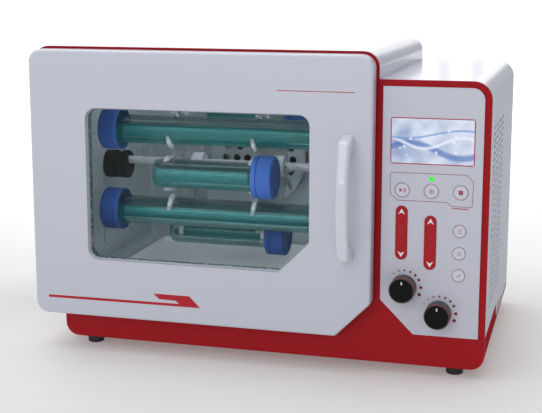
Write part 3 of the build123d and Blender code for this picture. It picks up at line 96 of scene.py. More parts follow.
# ---------------------------------------------------------------- materials
class Shader:
    """One material under construction: a Principled shader and helpers that feed it."""

    def __init__(self, name):
        self.material = bpy.data.materials.new(name)
        self.material.use_nodes = True
        self.tree = self.material.node_tree
        self.tree.nodes.clear()
        self.out = self.node("ShaderNodeOutputMaterial")
        self.main = self.node("ShaderNodeBsdfPrincipled")
        self.link(self.main.outputs["BSDF"], self.out.inputs["Surface"])
        self.coords = self.node("ShaderNodeTexCoord").outputs["Object"]

    def node(self, kind, **settings):
        made = self.tree.nodes.new(kind)
        for key, value in settings.items():
            setattr(made, key, value)
        return made

    def link(self, source, target):
        self.tree.links.new(source, target)

    def set(self, **values):
        for key, value in values.items():
            self.main.inputs[key.replace("_", " ")].default_value = value
        return self

    def mapped(self, scale):
        mapping = self.node("ShaderNodeMapping")
        mapping.inputs["Scale"].default_value = scale
        self.link(self.coords, mapping.inputs["Vector"])
        return mapping.outputs["Vector"]

    def noise(self, scale, detail=2.0, stretch=(1, 1, 1)):
        tex = self.node("ShaderNodeTexNoise")
        tex.inputs["Scale"].default_value = scale
        tex.inputs["Detail"].default_value = detail
        self.link(self.mapped(stretch), tex.inputs["Vector"])
        return tex.outputs["Fac"]

    def math(self, operation, a, b=0.0, clamp=False):
        made = self.node("ShaderNodeMath", operation=operation, use_clamp=clamp)
        for socket, value in zip(made.inputs, (a, b)):
            if isinstance(value, (int, float)):
                socket.default_value = value
            else:
                self.link(value, socket)
        return made.outputs[0]

    def span(self, value, low, high, new_low=0.0, new_high=1.0):
        made = self.node("ShaderNodeMapRange")
        self.link(value, made.inputs["Value"])
        for name, number in zip(
                ("From Min", "From Max", "To Min", "To Max"), (low, high, new_low, new_high)):
            made.inputs[name].default_value = number
        return made.outputs["Result"]

    def mix(self, factor, a, b):
        made = self.node("ShaderNodeMix", data_type="RGBA")
        if isinstance(factor, (int, float)):
            made.inputs["Factor"].default_value = factor
        else:
            self.link(factor, made.inputs["Factor"])
        for name, value in (("A", a), ("B", b)):
            socket = [s for s in made.inputs if s.name == name and s.type == "RGBA"][0]
            if isinstance(value, (tuple, list)):
                socket.default_value = tuple(value) + (1.0,) * (4 - len(value))
            else:
                self.link(value, socket)
        return [s for s in made.outputs if s.type == "RGBA"][0]

    def xyz(self):
        split = self.node("ShaderNodeSeparateXYZ")
        self.link(self.coords, split.inputs["Vector"])
        return split.outputs

    def above_axis(self):
        """Height in metres above the axis of the nearest bottle station."""
        _, y, z = self.xyz()
        middle = at(0, ROTOR_Y, ROTOR_Z)
        ahead = self.math("SUBTRACT", middle.y, y)
        below = self.math("SUBTRACT", middle.z, z)
        pitch = radians(STATION_STEP)
        index = self.math("ROUND", self.math("DIVIDE", self.math("ARCTAN2", below, ahead), pitch))
        axis = self.math("SINE", self.math("MULTIPLY", index, pitch))
        return self.math("SUBTRACT", self.math("MULTIPLY", axis, STATION_RADIUS / 1000), below)

    def colour(self, value):
        if isinstance(value, (tuple, list)):
            self.main.inputs["Base Color"].default_value = tuple(value) + (1.0,)
        else:
            self.link(value, self.main.inputs["Base Color"])

    def rough(self, source, low, high):
        self.link(self.span(source, 0.3, 0.7, low, high), self.main.inputs["Roughness"])

    def surface(self, height=None, strength=0.2, distance=0.0002, edge=0.0):
        """Fine relief in the normal, over edges rounded by a small radius."""
        normal = None
        if edge:
            rounding = self.node("ShaderNodeBevel", samples=4)
            rounding.inputs["Radius"].default_value = edge
            normal = rounding.outputs["Normal"]
        if height is not None:
            relief = self.node("ShaderNodeBump")
            relief.inputs["Strength"].default_value = strength
            relief.inputs["Distance"].default_value = distance
            self.link(height, relief.inputs["Height"])
            if normal is not None:
                self.link(normal, relief.inputs["Normal"])
            normal = relief.outputs["Normal"]
        if normal is not None:
            self.link(normal, self.main.inputs["Normal"])


def tone(colour, factor):
    return tuple(min(1.0, c * factor) for c in colour)


def paint(name, colour, rough=0.3, edge=0.0008, shine=0.35, coat=0.5, spread=0.008, bench_shade=1.0):
    """Baked enamel: a little orange peel, faint cloudiness and a clear gloss. The last argument is
    painted shade: how bright the colour stays near the bench, painted darker towards the bottom in
    place of the light falling off."""
    s = Shader(name)
    clouds = s.noise(5.0, 2.0)
    enamel = s.mix(clouds, tone(colour, 1 - spread), tone(colour, 1 + spread))
    # Painted shade: the colour is darkened towards the bench, where less light falls.
    if bench_shade < 1.0:
        low = s.mix(clouds, tone(colour, bench_shade - spread), tone(colour, bench_shade + spread))
        enamel = s.mix(s.span(s.xyz()[2], 0.04, 0.36), low, enamel)
    s.colour(enamel)
    s.rough(s.noise(12.0, 2.0), rough * 0.95, rough * 1.05)
    s.set(Specular_IOR_Level=shine, Coat_Weight=coat, Coat_Roughness=0.05)
    s.surface(s.noise(700.0, 2.0), 0.03, 0.0001, edge)
    return s


def plastic(name, colour, rough=0.4, edge=0.0004, spread=0.05, grain=1400.0, relief=0.12,
            shine=0.3):
    """Moulded plastic with a fine grain."""
    s = Shader(name)
    s.colour(s.mix(s.noise(60.0, 3.0), tone(colour, 1 - spread), tone(colour, 1 + spread)))
    s.rough(s.noise(120.0, 3.0), rough * 0.85, rough * 1.15)
    s.set(Specular_IOR_Level=shine)
    s.surface(s.noise(grain, 3.0), relief, 0.0001, edge)
    return s


def metal(name, colour, rough=0.3, stretch=(1, 1, 1), scale=600.0, edge=0.0004, shine=1.0):
    """Bare metal with brush marks drawn out along the axis whose stretch is small."""
    s = Shader(name)
    marks = s.noise(scale, 4.0, stretch)
    s.colour(s.mix(marks, tone(colour, 0.88), tone(colour, 1.1)))
    s.rough(marks, rough * 0.75, rough * 1.3)
    s.set(Metallic=shine)
    s.surface(marks, 0.08, 0.0001, edge)
    return s


def rubber(name, colour):
    s = Shader(name)
    s.colour(s.mix(s.noise(80.0, 3.0), tone(colour, 0.8), tone(colour, 1.25)))
    s.rough(s.noise(200.0, 3.0), 0.55, 0.8)
    s.surface(s.noise(2500.0, 2.0), 0.3, 0.0001, 0.0005)
    return s


def wool(name, colour):
    s = Shader(name)
    fibres = s.noise(500.0, 6.0, (1, 0.3, 1))
    s.colour(s.mix(fibres, tone(colour, 0.7), tone(colour, 1.2)))
    s.set(Roughness=0.95, Sheen_Weight=0.3)
    s.surface(fibres, 0.8, 0.002)
    return s


def clear(name, colour, tint, face, rim, rough=0.04, gloss=1.0, blend=0.25, dry=None):
    """Clear wall: its tint colours what is behind, it closes towards its edges, and a clean
    reflection lies on top. Above the liquid, dry gives its plain tint."""
    s = Shader(name)
    s.colour(s.mix(s.noise(30.0, 2.0), tone(colour, 0.94), tone(colour, 1.06)))
    s.rough(s.noise(200.0, 2.0), 0.3, 0.4)
    through = s.node("ShaderNodeBsdfTransparent")
    through.inputs["Color"].default_value = tuple(tint) + (1.0,)
    facing = s.node("ShaderNodeLayerWeight")
    facing.inputs["Blend"].default_value = blend
    share = s.span(facing.outputs["Facing"], 0.0, 1.0, face, rim)
    if dry is not None:
        air = s.span(s.above_axis(), *LIQUID_LEVEL)
        share = s.math("MULTIPLY", share, s.span(air, 0.0, 1.0, 1.0, 0.13))
        s.link(s.mix(air, tint, dry), through.inputs["Color"])
    body = s.node("ShaderNodeMixShader")
    s.link(share, body.inputs["Fac"])
    s.link(through.outputs["BSDF"], body.inputs[1])
    s.link(s.main.outputs["BSDF"], body.inputs[2])
    shine = s.node("ShaderNodeBsdfAnisotropic")
    s.link(s.span(s.noise(150.0, 2.0), 0.3, 0.7, rough * 0.8, rough * 1.2),
           shine.inputs["Roughness"])
    fresnel = s.node("ShaderNodeFresnel")
    fresnel.inputs["IOR"].default_value = 1.45
    glaze = s.node("ShaderNodeMixShader")
    s.link(s.math("MULTIPLY", fresnel.outputs["Fac"], gloss), glaze.inputs["Fac"])
    s.link(body.outputs["Shader"], glaze.inputs[1])
    s.link(shine.outputs["BSDF"], glaze.inputs[2])
    s.link(glaze.outputs["Shader"], s.out.inputs["Surface"])
    return s


WHITE = (0.66, 0.675, 0.76)
RED = (0.37, 0.008, 0.014)
INK_RED = (0.46, 0.012, 0.025)

def housing_paint(name, upright):
    """White enamel, glossy where it faces up, with its own roughness on the upright sheets."""
    s = paint(name, WHITE, coat=0.0, shine=0.5)
    facing = s.node("ShaderNodeSeparateXYZ")
    s.link(s.node("ShaderNodeNewGeometry").outputs["Normal"], facing.inputs["Vector"])
    level = s.span(facing.outputs["Z"], 0.3, 0.9, upright, 0.12)
    wave = s.span(s.noise(12.0, 2.0), 0.3, 0.7, 0.95, 1.05)
    s.link(s.math("MULTIPLY", level, wave), s.main.inputs["Roughness"])
    return s


# Painted shade: the door's white and the control plate's white darken towards the bench.
white_paint = paint("white_enamel", WHITE, edge=0.0013, bench_shade=0.86)
housing_white = housing_paint("housing_enamel", 0.22)
red_paint = paint("red_enamel", RED, rough=0.32, shine=0.12, coat=0.0, spread=0.02)
red_satin = paint("red_satin", RED, rough=0.8, shine=0.02, coat=0.0, spread=0.02)
panel_white = paint("panel_white", (0.65, 0.655, 0.74), rough=0.34, coat=0.0, edge=0.0004,
                    bench_shade=0.87)
handle_white = paint("handle_white", (0.70, 0.715, 0.80), rough=0.2, shine=0.5, coat=0.4,
                     edge=0.0)
bezel_white = paint("bezel_white", (0.50, 0.52, 0.57), rough=0.25, shine=0.5, edge=0.0)
key_white = plastic("key_white", (0.66, 0.665, 0.75), rough=0.35)
liner_steel = metal("liner_steel", (0.50, 0.55, 0.58), rough=0.34, stretch=(1, 0.03, 1),
                    scale=900.0, shine=0.55)
tray_steel = metal("tray_steel", (0.86, 0.86, 0.86), rough=0.4, stretch=(0.03, 1, 1), scale=900.0,
                   shine=0.3)
shaft_steel = metal("shaft_steel", (0.50, 0.50, 0.51), rough=0.4, stretch=(0.02, 1, 1), shine=0.5)
zinc = metal("zinc_steel", (0.66, 0.67, 0.70), rough=0.25, stretch=(1, 1, 1), scale=250.0)
alloy = metal("cast_alloy", (0.55, 0.56, 0.58), rough=0.45, scale=350.0)
heater_steel = metal("heater_steel", (0.32, 0.30, 0.29), rough=0.4, scale=300.0)
mineral_wool = wool("mineral_wool", (0.62, 0.55, 0.38))
black_rubber = rubber("foot_rubber", (0.022, 0.022, 0.026))
grey_rubber = rubber("gasket_rubber", (0.20, 0.21, 0.22))
black_plastic = plastic("black_plastic", (0.007, 0.007, 0.007), rough=0.45, shine=0.08)
dark_plastic = plastic("knob_plastic", (0.075, 0.08, 0.08), rough=0.45, shine=0.2)
white_plastic = plastic("white_plastic", (0.36, 0.37, 0.41), rough=0.5, shine=0.15)
red_plastic = plastic("red_plastic", (0.43, 0.010, 0.018), rough=0.4, shine=0.2)
cap_blue = plastic("cap_blue", (0.017, 0.055, 0.20), rough=0.45, shine=0.15)
red_ink = plastic("red_ink", INK_RED, rough=0.45, edge=0.0, relief=0.03)
dark_ink = plastic("dark_red_ink", (0.30, 0.04, 0.07), rough=0.5, edge=0.0, relief=0.03)
deep_ink = plastic("deep_red_ink", (0.26, 0.006, 0.025), rough=0.5, edge=0.0, relief=0.03)
pale_ink = plastic("pale_red_ink", (0.36, 0.085, 0.12), rough=0.5, edge=0.0, relief=0.03)
white_ink = plastic("white_ink", (0.82, 0.83, 0.86), rough=0.45, edge=0.0, relief=0.03)
board_green = plastic("board_green", (0.02, 0.12, 0.05), rough=0.4)
window_glass = clear("window_glass", (0.10, 0.14, 0.15), (0.965, 0.98, 0.982), 0.006, 0.12,
                     0.03, 0.09)
bottle_glass = clear("bottle_glass", (0.012, 0.17, 0.165), (0.82, 0.965, 0.962), 0.09, 1.0,
                     gloss=0.6, blend=0.1, dry=(0.978, 0.987, 0.987))
acrylic = clear("clip_acrylic", (0.36, 0.39, 0.40), (0.93, 0.95, 0.95), 0.18, 0.7, 0.12, 0.6)


# Height above the bottle's axis in metres, and the liquid's colour there, with painted light and
# shade in bands where a filled round bottle bends the light
LIQUID_PAINTED_BANDS = (
    (-0.0165, (0.010, 0.06, 0.06)), (-0.0145, (0.018, 0.24, 0.225)),
    (-0.0110, (0.016, 0.17, 0.16)), (-0.0085, (0.014, 0.060, 0.060)),
    (-0.0010, (0.018, 0.070, 0.072)), (0.0015, (0.03, 0.13, 0.135)),
    (0.0060, (0.07, 0.20, 0.205)), (0.0075, (0.02, 0.06, 0.06)))
PAINTED_BANDS_TOP = 0.012


def liquid_look():
    """Teal liquid in a round bottle, with painted light and shade in bands by height, where a
    filled round bottle bends the light.
    """
    s = clear("teal_liquid", (0.03, 0.12, 0.11), (0.30, 0.66, 0.64), 0.68, 0.85, 0.06, 0.3)
    # Noise wobbles the edges of the painted light and shade bands.
    ripple = s.math("MULTIPLY", s.noise(55.0, 3.0, (0.25, 1, 1)), 0.003)
    height = s.math("ADD", s.above_axis(), ripple)
    ramp = s.node("ShaderNodeValToRGB")
    elements = ramp.color_ramp.elements
    low, high = LIQUID_PAINTED_BANDS[0][0], PAINTED_BANDS_TOP
    elements.remove(elements[1])
    for i, (place, shade) in enumerate(LIQUID_PAINTED_BANDS):
        share = (place - low) / (high - low)
        element = elements[0] if i == 0 else elements.new(share)
        element.position = share
        element.color = shade + (1.0,)
    s.link(s.span(height, low, high), ramp.inputs["Fac"])
    s.colour(ramp.outputs["Color"])
    return s


liquid = liquid_look()

led_green = plastic("led_green", (0.01, 0.5, 0.02), rough=0.3)
led_green.set(Emission_Color=(0.01, 1.0, 0.03, 1.0), Emission_Strength=0.8)


def display_picture():
    """Pale blue screen: a soft slanting wash of light, three flowing bands and a few discs."""
    s = Shader("screen_picture")
    x0, x1, z0, z1 = DISPLAY
    low, high = at(x0, 0, z0), at(x1, 0, z1)
    x, _, z = s.xyz()
    u = s.span(x, low.x, high.x)
    v = s.span(z, low.z, high.z)
    wash = s.math("ADD", s.math("MULTIPLY", u, 0.7), s.math("MULTIPLY", v, 0.3))
    colour = s.mix(wash, (0.21, 0.31, 0.56), (0.62, 0.68, 0.82))
    colour = s.mix(s.span(s.noise(38.0, 2.0), 0.35, 0.7), colour, (0.80, 0.86, 0.97))
    bands = ((0.30, 0.16, 5.1, 0.4, 0.10, (0.05, 0.17, 0.50)),
             (0.47, 0.13, 6.4, 2.2, 0.05, (0.88, 0.93, 1.0)),
             (0.66, 0.10, 4.2, 4.1, 0.03, (0.12, 0.30, 0.68)))
    for middle, swing, waves, phase, half, shade in bands:
        angle = s.math("ADD", s.math("MULTIPLY", u, waves), phase)
        line = s.math("ADD", s.math("MULTIPLY", s.math("SINE", angle), swing), middle)
        away = s.math("ABSOLUTE", s.math("SUBTRACT", v, line))
        cover = s.span(away, half, half * 0.4, 0.0, 0.75)
        colour = s.mix(cover, colour, shade)
    spots = s.node("ShaderNodeTexVoronoi", feature="F1")
    spots.inputs["Scale"].default_value = 95.0
    s.link(s.coords, spots.inputs["Vector"])
    cover = s.span(spots.outputs["Distance"], 0.22, 0.14, 0.0, 0.6)
    colour = s.mix(cover, colour, (0.93, 0.96, 1.0))
    s.colour(colour)
    s.link(colour, s.main.inputs["Emission Color"])
    s.set(Roughness=0.12, Emission_Strength=0.16, Coat_Weight=0.3, Coat_Roughness=0.03)
    return s


HATCH_LEAN = 0.55
HATCH_PITCH = 0.0085
HATCH_SHARE = 0.33          # inked share of the pitch


def side_hatch():
    """White enamel of the control box with a few slanted red marks above the rear of its stripe."""
    s = housing_paint("housing_enamel_hatched", 0.75)
    x, y, z = s.xyz()
    start, end = at(0, 178, 31), at(0, 252, 45)
    lean = s.math("SUBTRACT", y, s.math("MULTIPLY", s.math("SUBTRACT", z, start.z), HATCH_LEAN))
    saw = s.math("FRACT", s.math("DIVIDE", lean, HATCH_PITCH))
    inside = s.math("LESS_THAN", saw, HATCH_SHARE)
    reach = s.math("SUBTRACT", end.z, s.math("MULTIPLY", s.math("SUBTRACT", y, start.y), 0.13))
    for test in (s.math("GREATER_THAN", x, at(SIDE_X - 0.5, 0, 0).x),
                 s.math("GREATER_THAN", y, start.y), s.math("LESS_THAN", y, end.y),
                 s.math("GREATER_THAN", z, start.z), s.math("LESS_THAN", z, reach)):
        inside = s.math("MULTIPLY", inside, test)
    enamel = s.main.inputs["Base Color"].links[0].from_socket
    s.link(s.mix(inside, enamel, INK_RED), s.main.inputs["Base Color"])
    return s


LOOKS = {
    red_paint: ("front_fascia",),
    red_satin: ("base_tray",),
    white_paint: ("door_frame",),
    housing_white: ("chamber_housing", "rear_panel"),
    side_hatch(): ("control_housing",),
    panel_white: ("control_plate",),
    handle_white: ("door_handle",),
    key_white: tuple(key[0] for key in KEYS),
    liner_steel: ("chamber_liner", "fan_guard", "door_inner_panel"),
    tray_steel: ("drip_tray",),
    shaft_steel: ("rotor_shaft",),
    zinc: ("rear_screws", "temperature_probe", "body_hinge_leaves", "door_hinge_leaves",
           "hinge_pins", "potentiometers", "door_magnets", "pane_spacer"),
    alloy: ("gear_motor", "power_supply", "knob_left_shaft", "knob_right_shaft"),
    heater_steel: ("heating_element",),
    mineral_wool: ("chamber_insulation", "door_insulation"),
    black_rubber: ("rubber_feet",),
    grey_rubber: ("door_gasket",),
    black_plastic: ("fan_motor", "fan_impeller", "bearing_block", "shaft_collar",
                    "drive_coupling", "power_inlet", "power_switch", "display_module",
                    "knob_left_cap", "knob_right_cap"),
    dark_plastic: ("knob_left_body", "knob_right_body"),
    white_plastic: ("clip_hubs",),
    red_plastic: tuple(rocker[0] for rocker in ROCKERS),
    cap_blue: ("bottle_caps",),
    board_green: ("control_board",),
    window_glass: ("window_panes",),
    bottle_glass: ("long_bottles", "short_bottles"),
    acrylic: ("clip_plates",),
    liquid: ("bottle_liquid",),
    led_green: ("status_led",),
    display_picture(): ("display_glass",),
}
for look, names in LOOKS.items():
    for name in names:
        mesh = nodes[name].data
        mesh.materials.clear()
        mesh.materials.append(look.material)


# ---------------------------------------------------------------- mesh helpers
def finish_mesh(name, bm, look, body, smooth_angle=None):
    """Turns a bmesh into a piece that rides on a body."""
    bmesh.ops.recalc_face_normals(bm, faces=bm.faces)
    mesh = bpy.data.meshes.new(name)
    bm.to_mesh(mesh)
    bm.free()
    mesh.materials.append(look.material)
    piece = bpy.data.objects.new(name, mesh)
    bpy.context.scene.collection.objects.link(piece)
    if smooth_angle is not None:
        mesh.shade_smooth()
        mesh.set_sharp_from_angle(angle=radians(smooth_angle))
    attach(piece, body)
    return piece


def prism(bm, points, y_front, y_back):
    """Polygon in x and z, made solid between two depths."""
    front = [bm.verts.new(at(x, y_front, z)) for x, z in points]
    back = [bm.verts.new(at(x, y_back, z)) for x, z in points]
    bm.faces.new(front)
    bm.faces.new(list(reversed(back)))
    for i in range(len(points)):
        j = (i + 1) % len(points)
        bm.faces.new((front[i], back[i], back[j], front[j]))


def band(bm, points, width, y_front, y_back, closed=False):
    """Line of even width through points in x and z, with mitred corners."""
    count = len(points)
    left, right = [], []
    for i, point in enumerate(points):
        here = Vector(point)
        before = Vector(points[i - 1]) if closed or i > 0 else None
        after = Vector(points[(i + 1) % count]) if closed or i < count - 1 else None
        into = (here - before).normalized() if before is not None else None
        out = (after - here).normalized() if after is not None else into
        into = out if into is None else into
        normal = Vector((-(into + out).y, (into + out).x)).normalized()
        reach = width / 2 / max(0.3, normal.dot(Vector((-into.y, into.x))))
        left.append(here + normal * reach)
        right.append(here - normal * reach)
    rows = [[bm.verts.new(at(p.x, y, p.y)) for p in side]
            for side, y in ((left, y_front), (right, y_front), (right, y_back), (left, y_back))]
    spans = count if closed else count - 1
    for i in range(spans):
        j = (i + 1) % count
        for a, b in ((0, 1), (1, 2), (2, 3), (3, 0)):
            bm.faces.new((rows[a][i], rows[b][i], rows[b][j], rows[a][j]))
    if not closed:
        bm.faces.new([row[0] for row in rows])
        bm.faces.new([row[-1] for row in reversed(rows)])


def circle(x, z, radius, count=40, start=0.0, turn=2 * pi):
    steps = count if turn >= 2 * pi else count + 1
    return [(x + radius * cos(start + turn * i / count), z + radius * sin(start + turn * i / count))
            for i in range(steps)]


def rounded_box(x0, x1, z0, z1, radius, count=6):
    points = []
    corners = ((x1 - radius, z0 + radius, -pi / 2), (x1 - radius, z1 - radius, 0.0),
               (x0 + radius, z1 - radius, pi / 2), (x0 + radius, z0 + radius, pi))
    for x, z, start in corners:
        points += circle(x, z, radius, count, start, pi / 2)
    return points


def lathe(bm, profile, centre, axis, count, ripple=None):
    """Turns a profile of (distance along the axis, radius) into a closed shell. ripple gives
    the change in radius for a profile point and an angle."""
    axis = Vector(axis).normalized()
    side = axis.orthogonal().normalized()
    up = axis.cross(side)
    rings = []
    for k, (along, radius) in enumerate(profile):
        base = centre + axis * along / 1000
        if radius == 0:
            rings.append([bm.verts.new(base)])
            continue
        ring = []
        for i in range(count):
            angle = 2 * pi * i / count
            r = (radius + (ripple(k, i) if ripple else 0.0)) / 1000
            ring.append(bm.verts.new(base + (side * cos(angle) + up * sin(angle)) * r))
        rings.append(ring)
    for a, b in zip(rings, rings[1:]):
        for i in range(count):
            j = (i + 1) % count
            if len(a) == 1:
                bm.faces.new((a[0], b[i], b[j]))
            elif len(b) == 1:
                bm.faces.new((a[i], b[0], a[j]))
            else:
                bm.faces.new((a[i], b[i], b[j], a[j]))
    return rings


# ---------------------------------------------------------------- bottle caps
def station(index):
    angle = radians(STATION_STEP * index)
    return ROTOR_Y - STATION_RADIUS * cos(angle), ROTOR_Z - STATION_RADIUS * sin(angle)


RIBS = 64
RIB_HEIGHT = 0.6
CAP_CORE = CAP_RADIUS - RIB_HEIGHT
cap_profile = [
    (0.9, 0), (0.9, 20.5), (0.2, 21.8), (0.0, 22.6), (0.0, 23.8), (0.5, CAP_CORE - 0.3),
    (1.6, CAP_CORE), (17.2, CAP_CORE), (17.5, 24.1), (18.2, 24.1), (18.5, CAP_RADIUS),
    (23.6, CAP_RADIUS), (CAP_LENGTH, CAP_RADIUS - 0.4), (CAP_LENGTH, CAP_RADIUS - 1.4),
    (22.0, CAP_RADIUS - 2.0), (18.0, CAP_INNER), (CAP_TOP, CAP_INNER), (CAP_TOP, 0)]
RIBBED = (6, 7)             # points of the profile between which the ribs run


def cap_ripple(k, i):
    return RIB_HEIGHT if k in RIBBED and i % 4 in (0, 1) else 0.0


# Where a cap's face is, which way the cap opens, and its station
CAPS = ((47.0, 1, -1), (47.0, 1, 1), (268.5, -1, -4), (268.5, -1, 0), (268.5, -1, 2))
caps = bmesh.new()
for face_x, way, index in CAPS:
    y, z = station(index)
    lathe(caps, cap_profile, at(face_x, y, z), (way, 0, 0), RIBS * 4, cap_ripple)
caps = finish_mesh("ribbed_caps", caps, cap_blue, "rotor", 40)
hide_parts("bottle_caps")

# White sleeves over the outer part of the clip arms: a white tip block, and along the arm a painted
# highlight where the arm's face catches the light
TIP_START = 65.5            # degrees from outward, where a sleeve starts
TIP_STEP = 4.5
TIP_SECTIONS = 12
TIP_HALF = 2.4
TIP_INNER = 17.6
TIP_OUTER = 21.0
TIP_FLARE = 0.1             # growth of the outer radius at each section
tips_and_highlight = bmesh.new()
for plate_x in CLIP_PLATES:
    for index in range(STATIONS):
        y, z = station(index)
        outward = atan2(z - ROTOR_Z, y - ROTOR_Y)
        for side in (-1, 1):
            sections = []
            for step in range(TIP_SECTIONS):
                angle = outward + side * radians(TIP_START + step * TIP_STEP)
                outer = TIP_OUTER + TIP_FLARE * step
                ring = []
                for dx, radius in ((-TIP_HALF, TIP_INNER), (TIP_HALF, TIP_INNER),
                                   (TIP_HALF, outer), (-TIP_HALF, outer)):
                    ring.append(tips_and_highlight.verts.new(at(
                        plate_x + dx, y + radius * cos(angle), z + radius * sin(angle))))
                sections.append(ring)
            for a, b in zip(sections, sections[1:]):
                for i in range(4):
                    j = (i + 1) % 4
                    tips_and_highlight.faces.new((a[i], a[j], b[j], b[i]))
            tips_and_highlight.faces.new(sections[0])
            tips_and_highlight.faces.new(list(reversed(sections[-1])))
finish_mesh("clip_tips_and_arm_highlight", tips_and_highlight, white_plastic, "rotor", 40)

# ---------------------------------------------------------------- knobs
FLUTES = 44
FLUTE_DEPTH = 0.28
FLUTED = (5, 6)             # points of the profile between which the flutes run


def flute(k, i):
    return -FLUTE_DEPTH if k in FLUTED and i % 4 in (0, 1) else 0.0


for name, x, z in KNOBS:
    grip = bmesh.new()
    length = KNOB_BACK - KNOB_FRONT
    profile = [(1.4, 0), (1.4, 12.75), (0.0, 12.75), (0.0, 13.3), (0.7, 13.9), (2.2, 13.95),
               (length - 1.2, 14.1), (length - 0.2, 14.0), (length, 13.6), (length, 3.1),
               (3.0, 3.1), (3.0, 0)]

    lathe(grip, profile, at(x, KNOB_FRONT, z), (0, 1, 0), FLUTES * 4, flute)
    grip = finish_mesh(f"{name}_grip", grip, dark_plastic, name, 35)
    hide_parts(f"{name}_body")
    rim = bmesh.new()
    lathe(rim, [(0.35, 13.2), (0.35, 13.5), (0.9, 14.1), (2.3, 14.12), (2.3, 13.85), (1.0, 13.2),
                (0.35, 13.2)], at(x, KNOB_FRONT, z), (0, 1, 0), 96)
    bmesh.ops.remove_doubles(rim, verts=rim.verts, dist=1e-6)
    finish_mesh(f"{name}_rim", rim, red_plastic, name, 35)
    tick = bmesh.new()
    face = KNOB_FRONT - 0.4
    prism(tick, rounded_box(x - 0.65, x + 0.65, z + 6.6, z + 10.1, 0.4, 3),
          face - INK, face + SUNK)
    finish_mesh(f"{name}_tick", tick, white_ink, name)

# ---------------------------------------------------------------- prints on the control plate
plate_front = PLATE_Y - INK
plate_back = PLATE_Y + SUNK
x0, x1, z0, z1 = DISPLAY
frame_line = bmesh.new()
band(frame_line, rounded_box(x0 - 0.6, x1 + 0.6, z0 - 0.6, z1 + 0.6, 2.0), 1.0,
     plate_front, plate_back, True)
finish_mesh("display_outline", frame_line, red_ink, "oven")
outline = [(418.5, 226.2), (498.3, 226.4), (505.8, 219.6), (505.0, 192.9), (502.6, 191.5),
           (482.6, 192.0), (478.2, 196.0), (425.0, 195.8), (416.8, 202.7), (416.4, 221.9),
           (416.6, 224.8)]
line = bmesh.new()
band(line, outline, 0.55, plate_front, plate_back, True)
finish_mesh("plate_lines", line, dark_ink, "oven")

DOT_ANGLES = (171, 150, 129, 109, 89, 68.5, 48.5, 29, 2, -23.5)
DOT_RING = 18.7
DOT_SMALLEST = 0.45
DOT_GROWTH = 1.5
bar = bmesh.new()
dots = bmesh.new()
band(bar, [(484.1, 189.9), (501.2, 189.4)], 1.0, plate_front, plate_back)
for _, x, z in KNOBS:
    for i, degrees in enumerate(DOT_ANGLES):
        angle = radians(degrees)
        dot = DOT_SMALLEST + DOT_GROWTH * i / (len(DOT_ANGLES) - 1)
        prism(dots, circle(x + DOT_RING * cos(angle), z + DOT_RING * sin(angle), dot, 18),
              plate_front, plate_back)
finish_mesh("key_bar", bar, red_ink, "oven")
finish_mesh("knob_dots", dots, deep_ink, "oven")

# ---------------------------------------------------------------- prints on keys and rockers
for name, x, z, radius in KEYS:
    front, back = KEY_FACE - INK, KEY_FACE + SUNK
    ring = bmesh.new()
    band(ring, circle(x, z, radius - 0.6), 0.38, front, back, True)
    size = radius * 0.3
    if name == "key_top_1":
        prism(ring, [(x - size * 1.3, z - size), (x + size * 0.2, z), (x - size * 1.3, z + size)],
              front, back)
        band(ring, [(x + size * 0.8, z - size), (x + size * 0.8, z + size)], 0.7, front, back)
        band(ring, [(x + size * 1.5, z - size), (x + size * 1.5, z + size)], 0.7, front, back)
    elif name == "key_top_2":
        band(ring, circle(x, z, size * 0.95), 0.5, front, back, True)
        prism(ring, circle(x, z, size * 0.4, 20), front, back)
    elif name == "key_top_3":
        prism(ring, rounded_box(x - size, x + size, z - size, z + size, 0.4, 3), front, back)
    elif name == "key_side_1":
        for lift in (-0.9, 0.0, 0.9):
            band(ring, [(x - size, z + lift * size), (x + size, z + lift * size)], 0.5, front, back)
    elif name == "key_side_2":
        band(ring, [(x - size, z - size * 0.2), (x, z + size * 0.7), (x + size, z - size * 0.2)],
             0.6, front, back)
        band(ring, [(x - size, z - size * 0.9), (x + size, z - size * 0.9)], 0.5, front, back)
    else:
        band(ring, [(x - size * 1.1, z), (x - size * 0.2, z - size * 0.8),
                    (x + size * 1.2, z + size)], 0.6, front, back)
    finish_mesh(f"{name}_print", ring, pale_ink, name)

ARROW_HALF = 3.7
ARROW_HEIGHT = 6.6
ARROW_NOTCH = 4.4
for name, x, z in ROCKERS:
    front, back = ROCKER_FACE - INK, ROCKER_FACE + SUNK
    arrows = bmesh.new()
    for way in (1, -1):
        tip = z + way * (ROCKER_HALF - 2.6)
        prism(arrows, [(x, tip), (x + ARROW_HALF, tip - way * ARROW_HEIGHT),
                       (x, tip - way * ARROW_NOTCH), (x - ARROW_HALF, tip - way * ARROW_HEIGHT)],
              front, back)
    finish_mesh(f"{name}_arrows", arrows, white_ink, name)
    scale = bmesh.new()
    for i in range(5):
        half = 1.2 + 0.45 * i
        height = z - 9.0 + i * 4.5
        band(scale, [(x - half, height), (x + half, height)], 0.8, front, back)
    finish_mesh(f"{name}_scale", scale, dark_ink, name)

# ---------------------------------------------------------------- prints on the door
stripes = bmesh.new()
band(stripes, [(295.1, 313.2), (380.7, 313.0)], 0.8, -INK, SUNK)
prism(stripes, [(16.7, 62.4), (204.8, 63.1), (191.9, 76.0), (148.4, 76.1), (155.5, 70.0),
                (175.4, 69.5), (179.4, 66.2), (16.7, 65.4)], -INK, SUNK)
finish_mesh("door_stripes", stripes, red_ink, "door")

# Sloping trim inside the window's opening, from the door's face back to the pane
bezel = bmesh.new()


